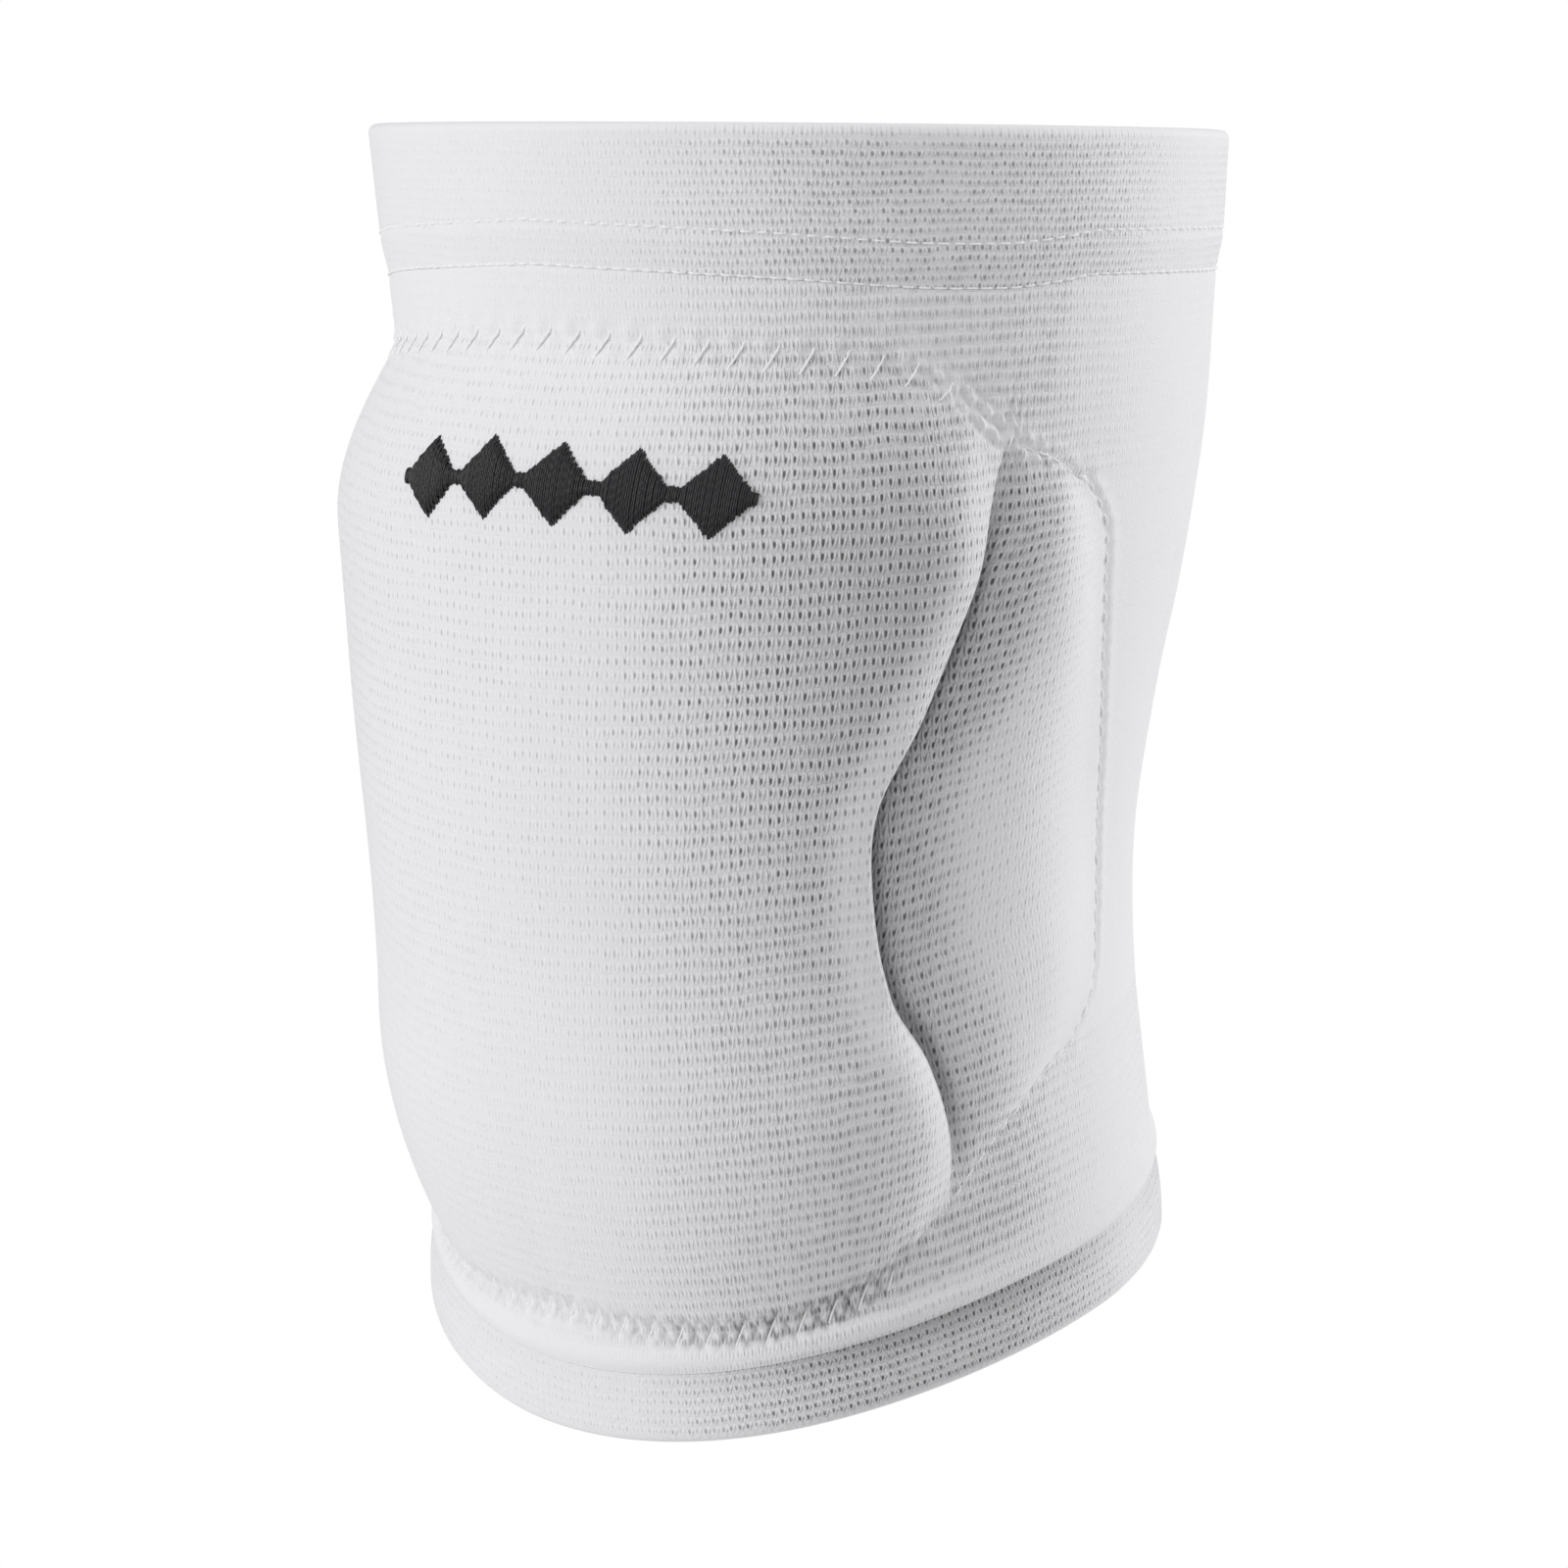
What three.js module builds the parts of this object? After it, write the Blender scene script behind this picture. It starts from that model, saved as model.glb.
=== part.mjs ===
// Knee pad for volleyball, in the form that it has when worn.
// Millimetres, +Z up, the front of the knee towards -Y.
// The origin is on the leg's axis, level with the kneecap.
//
// Every piece is laid out on one grid. A station runs round the leg: 0 is the
// middle of the front, 1 the crease beside the main pad, 2 the outer edge of
// the wing pad and 3 the middle of the back, with negative stations on the
// left. A row runs up the leg, through the rows that ROW names. A point of the
// grid has a place on the leg, and each layer lies at its own offset from it.
import * as THREE from 'three';
import { ParametricGeometry } from 'three/addons/geometries/ParametricGeometry.js';

// Heights from the kneecap, and how the bottom rim dips
const KNEE_TO_TOP = 105;
const KNEE_TO_BOTTOM = 69;
const TOP_TILT = 0.8;
const SHIN_DIP = 13.3;
const SHIN_POINT = 8.8;
const SIDE_SKEW = 4;

// Size of the leg at the top rim
const THIGH_HALF_WIDTH = 64.2;
const THIGH_FRONT = 63.8;
const THIGH_BACK = 63;

// Knitted walls and bands
const KNIT_WALL = 2;
const HEM_WALL = 2.6;
const HEM_HEIGHT = 22.3;
const BAND_WALL = 2.2;
const BAND_HEIGHT = 10.5;
const ROLL_HEIGHT = 3.8;
const ROLL_PROUD = 1.2;

// Foam pads
const PAD_CROWN = 13;
const PAD_SIDE = 11;
const PAD_ROUND = 6;
const PAD_TOP_TAPER = 27;
const PAD_BOTTOM_TAPER = 34;
const WING_CROWN = 6.5;
const WING_PEAK = 0.6;
const CREASE_FLOOR = 1.2;

// Embroidered motif, a row of diamonds
const MOTIF_LENGTH = 54;
const MOTIF_HEIGHT = 14;
const MOTIF_NECK = 2.4;
const MOTIF_THICKNESS = 0.8;
const MOTIF_DIAMONDS = 5;
const MOTIF_STATION = 0.13;
const MOTIF_UP_THE_PAD = 0.86;

// Clearance between pieces that touch
const GAP = 0.3;

const DEGREE = Math.PI / 180;
const ROW = { rim: 0, band: 1, roll: 2, padBottom: 3, padTop: 4, hem: 5, top: 6 };
const SIDE = { front: 0, crease: 1, wingEdge: 2, back: 3 };

// Leg sections, as shares of the sizes at the top rim. Level 0 is the bottom
// rim and level 1 the top rim.
const LEG_SECTIONS = [
  { level: 0.0, side: 0.9, front: 0.85, back: 0.79 },
  { level: 0.1, side: 0.86, front: 0.86, back: 0.785 },
  { level: 0.22, side: 0.807, front: 0.843, back: 0.785 },
  { level: 0.35, side: 0.804, front: 0.865, back: 0.77 },
  { level: 0.48, side: 0.85, front: 0.89, back: 0.806 },
  { level: 0.6, side: 0.902, front: 0.884, back: 0.908 },
  { level: 0.72, side: 0.942, front: 0.887, back: 0.984 },
  { level: 0.86, side: 0.972, front: 0.94, back: 0.998 },
  { level: 1.0, side: 1, front: 1, back: 1 },
];

// Angles from the middle of the front to the crease and to the wing pad's
// outer edge, in degrees, for shares of the way up the pad.
const PAD_OUTLINE = [
  { up: 0.0, crease: 62, wingEdge: 88 },
  { up: 0.08, crease: 62.5, wingEdge: 95.5 },
  { up: 0.2, crease: 58.5, wingEdge: 96.5 },
  { up: 0.3, crease: 52.2, wingEdge: 95.7 },
  { up: 0.45, crease: 49, wingEdge: 93 },
  { up: 0.55, crease: 49.3, wingEdge: 91.2 },
  { up: 0.65, crease: 54.3, wingEdge: 89.2 },
  { up: 0.8, crease: 60.5, wingEdge: 87 },
  { up: 0.92, crease: 63.5, wingEdge: 85.3 },
  { up: 1.0, crease: 66, wingEdge: 80.5 },
];

// Ends of the pads, as shares of the knit panel between the roll and the hem,
// and the hem's depth as a share of HEM_HEIGHT, for each station.
const PAD_ENDS = [
  { station: 0.0, bottom: 0.031, top: 0.937, hem: 0.93 },
  { station: 0.5, bottom: 0.012, top: 0.931, hem: 1.0 },
  { station: 0.8, bottom: 0.027, top: 0.92, hem: 1.06 },
  { station: 1.0, bottom: 0.079, top: 0.859, hem: 1.06 },
  { station: 1.5, bottom: 0.142, top: 0.824, hem: 1.02 },
  { station: 2.0, bottom: 0.18, top: 0.794, hem: 0.97 },
  { station: 3.0, bottom: 0.16, top: 0.83, hem: 0.95 },
];

// Steps of the grid
const MAIN_STEPS = 10;
const WING_STEPS = 8;
const BACK_STEPS = 7;
const PAD_ROWS = 18;
const ROLL_ROWS = 4;
const BAND_ROWS = 3;
const ROUND_STEPS = 4;
const MOTIF_STEPS_A_DIAMOND = 8;
const CREASE_CROWDING = 1.8;
const END_CROWDING = 0.6;

const clamp = THREE.MathUtils.clamp;
const mix = THREE.MathUtils.lerp;
const ease = (share) => Math.sin((Math.PI / 2) * clamp(share, 0, 1));

// A smooth curve through one column of a table.
function curve(table, key, column, at) {
  const last = table.length - 1;
  const x = clamp(at, table[0][key], table[last][key]);
  const slope = (i) => {
    const low = table[Math.max(i - 1, 0)];
    const high = table[Math.min(i + 1, last)];
    return (high[column] - low[column]) / (high[key] - low[key]);
  };
  let i = 0;
  while (i < last - 1 && x > table[i + 1][key]) i += 1;
  const run = table[i + 1][key] - table[i][key];
  const u = (x - table[i][key]) / run;
  const far = u * u * (3 - 2 * u);
  return mix(table[i][column], table[i + 1][column], far)
    + run * u * (1 - u) * ((1 - u) * slope(i) - u * slope(i + 1));
}

// Height of the bottom rim and of the whole pad at an angle round the leg.
function bottomZ(angle) {
  const front = Math.cos(angle);
  return -KNEE_TO_BOTTOM - SHIN_DIP * front - SHIN_POINT * Math.max(front, 0) ** 2
    - SIDE_SKEW * Math.sin(angle);
}

function fullHeight(angle) {
  return KNEE_TO_TOP + TOP_TILT * Math.cos(angle) - bottomZ(angle);
}

// A point at an offset from the leg, outwards.
function legPoint(angle, level, offset, target) {
  const side = THIGH_HALF_WIDTH * curve(LEG_SECTIONS, 'level', 'side', level);
  const front = THIGH_FRONT * curve(LEG_SECTIONS, 'level', 'front', level);
  const back = THIGH_BACK * curve(LEG_SECTIONS, 'level', 'back', level);
  const depth = Math.cos(angle) > 0 ? front : back;
  const normal = new THREE.Vector2(Math.sin(angle) / side, -Math.cos(angle) / depth).normalize();
  return target.set(
    side * Math.sin(angle) + offset * normal.x,
    -depth * Math.cos(angle) + offset * normal.y,
    bottomZ(angle) + level * fullHeight(angle),
  );
}

// Share of the way up the pad at a row.
const upThePad = (row) => clamp(row - ROW.padBottom, 0, 1);

const creaseAngle = (up) => DEGREE * curve(PAD_OUTLINE, 'up', 'crease', up);
const wingEdgeAngle = (up) => DEGREE * curve(PAD_OUTLINE, 'up', 'wingEdge', up);

// Angle round the leg at a point of the grid.
function angleAt(station, row) {
  const along = Math.abs(station);
  const crease = creaseAngle(upThePad(row));
  const edge = wingEdgeAngle(upThePad(row));
  let angle = mix(edge, Math.PI, along - SIDE.wingEdge);
  if (along < SIDE.crease) angle = along * crease;
  else if (along < SIDE.wingEdge) angle = mix(crease, edge, along - SIDE.crease);
  return Math.sign(station) * angle;
}

// Level of a named row at a station, for the height there.
function rowLevels(station, height) {
  const along = Math.abs(station);
  const ends = (column) => curve(PAD_ENDS, 'station', column, along);
  const band = BAND_HEIGHT / height;
  const roll = band + ROLL_HEIGHT / height;
  const hem = 1 - (HEM_HEIGHT * ends('hem')) / height;
  return [0, band, roll, mix(roll, hem, ends('bottom')), mix(roll, hem, ends('top')), hem, 1];
}

function levelAt(station, row) {
  const levels = rowLevels(station, fullHeight(angleAt(station, row)));
  const below = Math.min(Math.floor(row), ROW.hem);
  return mix(levels[below], levels[below + 1], row - below);
}

// Thickness of the foam at a point of the grid. The inset draws the pads'
// edges back from the crease, for the foam itself.
function foamThickness(station, row, inset = 0) {
  if (row <= ROW.padBottom || row >= ROW.padTop) return 0;
  const along = Math.abs(station);
  if (along >= SIDE.wingEdge) return 0;
  const angle = angleAt(station, row);
  const height = fullHeight(angle);
  const levels = rowLevels(station, height);
  const level = mix(levels[ROW.padBottom], levels[ROW.padTop], upThePad(row));
  const fromBottom = (level - levels[ROW.padBottom]) * height;
  const fromTop = (levels[ROW.padTop] - level) * height;
  const ends = ease(fromBottom / PAD_BOTTOM_TAPER) * ease(fromTop / PAD_TOP_TAPER);
  if (along > SIDE.crease) {
    const share = along - SIDE.crease;
    const rise = ease(share / WING_PEAK);
    const fall = 1 - ease((share - WING_PEAK) / (1 - WING_PEAK)) ** 2;
    return ends * mix(CREASE_FLOOR * fall, WING_CROWN * fall, rise);
  }
  const fromCrease = (creaseAngle(upThePad(row)) - Math.abs(angle)) * THIGH_FRONT - inset;
  const round = Math.sqrt(1 - (1 - clamp(fromCrease / PAD_ROUND, 0, 1)) ** 2);
  const crown = mix(PAD_CROWN, PAD_SIDE, along ** 2);
  return ends * mix(CREASE_FLOOR, crown, round);
}

// How far the rolled seam above the bottom band stands proud.
function rollProud(row) {
  return ROLL_PROUD * Math.sin(Math.PI * clamp(row - ROW.band, 0, 1));
}

// A closed grid of points: the place function gives the point of each column
// and of each step of a loop round the section.
function gridGeometry(columns, loop, place) {
  const point = (u, v, target) => {
    const column = columns[Math.round(u * (columns.length - 1))];
    const step = loop[Math.round(v * loop.length) % loop.length];
    place(column, step, target);
  };
  return new ParametricGeometry(point, columns.length - 1, loop.length);
}

// Stations of one half, close together beside the crease.
function halfStations() {
  const stations = [0];
  for (let i = 1; i <= MAIN_STEPS; i += 1) {
    stations.push(SIDE.crease - (1 - i / MAIN_STEPS) ** CREASE_CROWDING);
  }
  for (let i = 1; i <= WING_STEPS; i += 1) stations.push(SIDE.crease + i / WING_STEPS);
  for (let i = 1; i <= BACK_STEPS; i += 1) stations.push(SIDE.wingEdge + i / BACK_STEPS);
  return stations;
}

const HALF = halfStations();
const mirrored = (stations) => stations.slice(1).reverse().map((s) => -s);
const ALL_ROUND = [...mirrored(HALF), ...HALF];

// Rows up the pad, close together at its ends.
function padRows() {
  const rows = [];
  for (let i = 0; i <= PAD_ROWS; i += 1) {
    const even = i / PAD_ROWS;
    rows.push(ROW.padBottom + mix(even, (1 - Math.cos(Math.PI * even)) / 2, END_CROWDING));
  }
  return rows;
}

function stepsBetween(low, high, count) {
  return Array.from({ length: count + 1 }, (_, i) => mix(low, high, i / count));
}

// A wall all the way round the leg. Its loop goes up the outside, over the
// top edge, down the inside and under the bottom edge. A rounded edge bulges
// past its row by half of the wall.
function wallLoop(rows, topRound, bottomRound) {
  const outside = rows.map((row) => ({ row, across: 1, past: 0 }));
  const inside = [...rows].reverse().map((row) => ({ row, across: 0, past: 0 }));
  const edge = (row, sign, rounded) => {
    if (!rounded) return [];
    return stepsBetween(0, Math.PI, ROUND_STEPS).slice(1, -1).map((turn) => ({
      row,
      across: (1 + sign * Math.cos(turn)) / 2,
      past: (sign * Math.sin(turn)) / 2,
    }));
  };
  return [...outside, ...edge(rows[rows.length - 1], 1, topRound),
    ...inside, ...edge(rows[0], -1, bottomRound)];
}

function wallGeometry(loop, wall, clear, extra) {
  const half = clear / 2;
  const low = Math.min(...loop.map((step) => step.row));
  const high = Math.max(...loop.map((step) => step.row));
  return gridGeometry(ALL_ROUND, loop, (station, step, target) => {
    const { row, across, past } = step;
    const foam = foamThickness(station, row);
    const outward = GAP + foam + across * (wall + extra(row));
    legPoint(angleAt(station, row), levelAt(station, row), outward, target);
    target.z += past * wall;
    if (row === low && row !== ROW.rim) target.z += half;
    if (row === high && row !== ROW.top) target.z -= half;
    if (row === ROW.rim) target.z += wall / 2;
    if (row === ROW.top) target.z -= wall / 2;
  });
}

// A pad of foam that lies on the leg and comes to an edge all round. Its loop
// goes round the outside from the last station to the first and back inside,
// which gives its facets the same diagonals as the wall that covers them.
function padGeometry(stations) {
  const first = stations[0];
  const last = stations[stations.length - 1];
  const outside = [...stations].reverse().map((station) => ({ station, across: 1 }));
  const inside = stations.slice(1, -1).map((station) => ({ station, across: 0 }));
  const loop = [...outside, ...inside];
  const rows = padRows();
  const point = (u, v, target) => {
    const row = rows[Math.round(u * (rows.length - 1))];
    const { station, across } = loop[Math.round(v * loop.length) % loop.length];
    const atEdge = station === first || station === last;
    const share = atEdge ? 0.5 : across;
    const inset = atEdge ? 0 : GAP;
    const thickness = foamThickness(station, row, inset);
    legPoint(angleAt(station, row), levelAt(station, row), share * thickness, target);
  };
  return new ParametricGeometry(point, rows.length - 1, loop.length);
}

function mesh(name, geometry, material) {
  const piece = new THREE.Mesh(geometry, material);
  piece.name = name;
  return piece;
}

// Materials
const knit = new THREE.MeshStandardMaterial({ color: 0xf2f2f3, roughness: 0.95, metalness: 0 });
const ribbedKnit = new THREE.MeshStandardMaterial({ color: 0xefeff1, roughness: 0.95, metalness: 0 });
const foam = new THREE.MeshStandardMaterial({ color: 0xe6e6e8, roughness: 0.9, metalness: 0 });
const thread = new THREE.MeshStandardMaterial({ color: 0x141418, roughness: 0.6, metalness: 0 });

// The hem: knit folded over at the top rim and stitched down.
function topHem() {
  const rows = stepsBetween(ROW.hem, ROW.top, BAND_ROWS);
  const loop = wallLoop(rows, true, false);
  return mesh('top_hem', wallGeometry(loop, HEM_WALL, GAP, () => 0), ribbedKnit);
}

// The sleeve, stretched over the pads, with the roll along its lower edge.
function knitSleeve() {
  const rollRows = stepsBetween(ROW.band, ROW.roll, ROLL_ROWS);
  const upperRows = stepsBetween(ROW.padTop, ROW.hem, 2).slice(1);
  const loop = wallLoop([...rollRows, ...padRows(), ...upperRows], false, false);
  return mesh('knit_sleeve', wallGeometry(loop, KNIT_WALL, GAP, rollProud), knit);
}

// The elastic band round the calf.
function bottomBand() {
  const rows = stepsBetween(ROW.rim, ROW.band, BAND_ROWS);
  const loop = wallLoop(rows, false, true);
  return mesh('bottom_band', wallGeometry(loop, BAND_WALL, GAP, () => 0), ribbedKnit);
}

// The main pad over the kneecap, from crease to crease.
function mainPad() {
  const edge = SIDE.crease - GAP / (creaseAngle(0.5) * THIGH_FRONT);
  const half = HALF.filter((s) => s < edge);
  return mesh('main_pad', padGeometry([-edge, ...mirrored(half), ...half, edge]), foam);
}

// A crescent pad beside the main pad, on the side that the sign gives.
function wingPad(name, sign) {
  const width = (wingEdgeAngle(0.5) - creaseAngle(0.5)) * THIGH_HALF_WIDTH;
  const inner = HALF.filter((s) => s > SIDE.crease && s < SIDE.wingEdge);
  const half = [SIDE.crease + GAP / width, ...inner, SIDE.wingEdge];
  const stations = sign > 0 ? half : [...half].reverse().map((s) => -s);
  return mesh(name, padGeometry(stations), foam);
}

// The motif: diamonds in a row, joined at their points, laid on the knit.
function motif() {
  const steps = MOTIF_DIAMONDS * MOTIF_STEPS_A_DIAMOND;
  const perStation = creaseAngle(MOTIF_UP_THE_PAD) * THIGH_FRONT;
  const panel = fullHeight(0) - HEM_HEIGHT - BAND_HEIGHT - ROLL_HEIGHT;
  const below = GAP + KNIT_WALL + GAP;
  const corners = [[-1, 1], [0, 1], [1, 1], [1, 0], [0, 0], [-1, 0]];
  const point = (u, v, target) => {
    const at = Math.round(u * steps) / steps;
    const [up, across] = corners[Math.round(v * corners.length) % corners.length];
    const inDiamond = Math.abs(((at * MOTIF_DIAMONDS) % 1) - 0.5) * 2;
    const neck = at === 0 || at === 1 ? 0 : MOTIF_NECK;
    const half = Math.max(MOTIF_HEIGHT * (1 - inDiamond), neck) / 2;
    const station = MOTIF_STATION + ((at - 0.5) * MOTIF_LENGTH) / perStation;
    const row = ROW.padBottom + MOTIF_UP_THE_PAD + (up * half) / panel;
    const outward = foamThickness(station, row) + below + across * MOTIF_THICKNESS;
    legPoint(angleAt(station, row), levelAt(station, row), outward, target);
  };
  return mesh('motif', new ParametricGeometry(point, steps, corners.length), thread);
}

const kneePad = new THREE.Group();
kneePad.add(
  topHem(),
  knitSleeve(),
  bottomBand(),
  mainPad(),
  wingPad('wing_pad_left', -1),
  wingPad('wing_pad_right', 1),
  motif(),
);

export default kneePad;
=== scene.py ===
"""Knee pad for volleyball, in the form that it has when worn.

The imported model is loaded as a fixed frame, and each of its pieces is replaced
by a finely modelled one: knitted cloth, foam pads, sewn seams and a small
embroidered motif. Sizes are in millimetres and meshes in metres, +Z is up and
the front of the knee faces -Y.

Every piece is laid out on one grid. A station runs round the leg and a row
runs up it, through the lines that Side and Row name.
"""

from __future__ import annotations

import logging
import math
from dataclasses import dataclass, field, replace
from enum import IntEnum
from typing import Callable, Union

import bmesh
import bpy
import numpy as np
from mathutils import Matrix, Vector

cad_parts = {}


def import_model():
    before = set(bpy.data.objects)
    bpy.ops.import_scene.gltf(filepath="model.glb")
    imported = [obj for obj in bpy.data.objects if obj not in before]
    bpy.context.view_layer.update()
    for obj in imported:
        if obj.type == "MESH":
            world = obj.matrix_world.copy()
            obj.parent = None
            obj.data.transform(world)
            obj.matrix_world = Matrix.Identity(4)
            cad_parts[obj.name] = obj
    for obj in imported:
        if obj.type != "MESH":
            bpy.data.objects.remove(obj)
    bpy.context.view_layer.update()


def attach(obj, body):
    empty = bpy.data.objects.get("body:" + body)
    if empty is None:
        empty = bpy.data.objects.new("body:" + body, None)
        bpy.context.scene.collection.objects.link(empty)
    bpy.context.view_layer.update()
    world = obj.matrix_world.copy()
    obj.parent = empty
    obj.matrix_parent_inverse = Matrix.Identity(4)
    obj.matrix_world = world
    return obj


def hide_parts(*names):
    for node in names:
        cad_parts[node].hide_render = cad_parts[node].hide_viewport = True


log = logging.getLogger("knee_pad")

MM = 0.001
COURSE_SPAN = 188.0  # height that the courses of stitches are counted over
SLEEVE_WALL = 2.0
WAVE_HEIGHT = 0.16
HEM_LINES = (0.15, 6.6)  # heights of the hem's stitch lines above its lower edge
LINE_GROOVE = 0.12
LINE_WIDTH = 0.7

Array = np.ndarray
Numbers = Union[float, np.ndarray]
Colour = tuple[float, float, float]
Face = Callable[[Array, Array], Array]


class Row(IntEnum):
    """Lines that run round the leg, from the bottom rim to the top rim."""

    RIM = 0
    BAND = 1
    ROLL = 2
    PAD_BOTTOM = 3
    PAD_TOP = 4
    HEM = 5
    TOP = 6


class Side(IntEnum):
    """Lines that run up the leg, from the middle of the front to the back."""

    FRONT = 0
    CREASE = 1
    WING_EDGE = 2
    BACK = 3


# Shapes of curves


def mix(low: Numbers, high: Numbers, share: Numbers) -> Numbers:
    """Blend two values, or two arrays of them."""
    return low + (high - low) * share


def ease(share: Numbers) -> Numbers:
    """Rise from 0 to 1 along a quarter of a sine."""
    return np.sin(0.5 * np.pi * np.clip(share, 0, 1))


def fade(value: Numbers, start: float, end: float) -> Numbers:
    """Go smoothly from 0 at the start to 1 at the end, which may be the lower."""
    share = np.clip((value - start) / (end - start), 0, 1)
    return share * share * (3 - 2 * share)


def hump(distance: Numbers, reach: float) -> Numbers:
    """A rounded hump that is 1 at no distance and fades out past the reach."""
    return np.exp(-((distance / reach) ** 2))


def zigzag(turns: Array) -> Array:
    """A straight-sided wave from -1 to 1 that rises in the first half turn."""
    return 1 - 4 * np.abs(turns - np.floor(turns) - 0.5)


def crowded(low: float, high: float, count: int, spots: dict[float, float], gain: float) -> Array:
    """Values from low to high that lie closer together beside some spots.

    Args:
        low: The first value.
        high: The last value.
        count: The number of steps between them.
        spots: Each spot and how far its crowding reaches.
        gain: How many times closer the values get there.

    Returns:
        An array of count + 1 values.
    """
    fine = np.linspace(low, high, 6001)
    density = 1 + sum(gain * hump(fine - spot, reach) for spot, reach in spots.items())
    run = np.concatenate([[0.0], np.cumsum((density[1:] + density[:-1]) / 2)])
    return np.interp(np.linspace(0, run[-1], count + 1), run, fine)


def edged(rows: Array, reach: float = 0.002) -> Array:
    """Add a row close to each end, which keeps the edge's shading crisp."""
    return np.concatenate([rows[:1], rows[:1] + reach, rows[1:-1], rows[-1:] - reach, rows[-1:]])


class Table:
    """A short table whose columns are read as smooth curves."""

    def __init__(self, names: str, *rows: tuple[float, ...]) -> None:
        """Keep the columns by name; the first one is the key."""
        keys = names.split()
        self.key = keys[0]
        self.columns = dict(zip(keys, np.array(rows, dtype=float).T))

    def read(self, column: str, at: Numbers) -> Numbers:
        """Read one column.

        Args:
            column: The column's name.
            at: Values of the key, kept to the table's range.

        Returns:
            The smooth curve's values, in the same shape.
        """
        x, y = self.columns[self.key], self.columns[column]
        low = np.maximum(np.arange(len(x)) - 1, 0)
        high = np.minimum(np.arange(len(x)) + 1, len(x) - 1)
        slope = (y[high] - y[low]) / (x[high] - x[low])
        at = np.clip(at, x[0], x[-1])
        i = np.clip(np.searchsorted(x, at, side="right") - 1, 0, len(x) - 2)
        run = x[i + 1] - x[i]
        u = (at - x[i]) / run
        bend = run * u * (1 - u) * ((1 - u) * slope[i] - u * slope[i + 1])
        return mix(y[i], y[i + 1], u * u * (3 - 2 * u)) + bend


# The leg, as shares of its size at the top rim. Level 0 is the bottom rim and
# level 1 the top rim.
LEG_SECTIONS = Table(
    "level side front back",
    (0.0, 0.9, 0.85, 0.79),
    (0.1, 0.86, 0.86, 0.785),
    (0.22, 0.807, 0.843, 0.785),
    (0.35, 0.804, 0.865, 0.77),
    (0.48, 0.85, 0.89, 0.806),
    (0.6, 0.902, 0.884, 0.908),
    (0.72, 0.942, 0.887, 0.984),
    (0.86, 0.972, 0.94, 0.998),
    (1.0, 1.0, 1.0, 1.0),
)

# Angles from the middle of the front to the crease and to the wing pad's outer
# edge, in degrees, for shares of the way up the pad.
PAD_OUTLINE = Table(
    "up crease wing_edge",
    (0.0, 62, 88),
    (0.08, 62.5, 95.5),
    (0.2, 58.5, 96.5),
    (0.3, 52.2, 95.7),
    (0.45, 49, 93),
    (0.55, 49.3, 91.2),
    (0.65, 54.3, 89.2),
    (0.8, 60.5, 87),
    (0.92, 63.5, 85.3),
    (1.0, 66, 80.5),
)

# Ends of the pads, as shares of the panel between the roll and the hem, and
# the hem's depth as a share of its height, for each station.
PAD_ENDS = Table(
    "station bottom top hem",
    (0.0, 0.031, 0.937, 0.93),
    (0.5, 0.012, 0.931, 1.0),
    (0.8, 0.027, 0.92, 1.06),
    (1.0, 0.079, 0.859, 1.06),
    (1.5, 0.142, 0.824, 1.02),
    (2.0, 0.18, 0.794, 0.97),
    (3.0, 0.16, 0.83, 0.95),
)


@dataclass(frozen=True)
class Spot:
    """Where points of the grid lie on the leg, as arrays of one shape."""

    station: Array
    row: Array
    angle: Array
    height: Array
    level: Array
    levels: Array

    @property
    def side(self) -> Array:
        """The station without its sign."""
        return np.abs(self.station)

    @property
    def up(self) -> Array:
        """How far up the pad, from 0 to 1."""
        return np.clip(self.row - Row.PAD_BOTTOM, 0, 1)

    def rise(self, row: Row) -> Array:
        """Height above a named row, in millimetres."""
        return (self.level - self.levels[row]) * self.height


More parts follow.
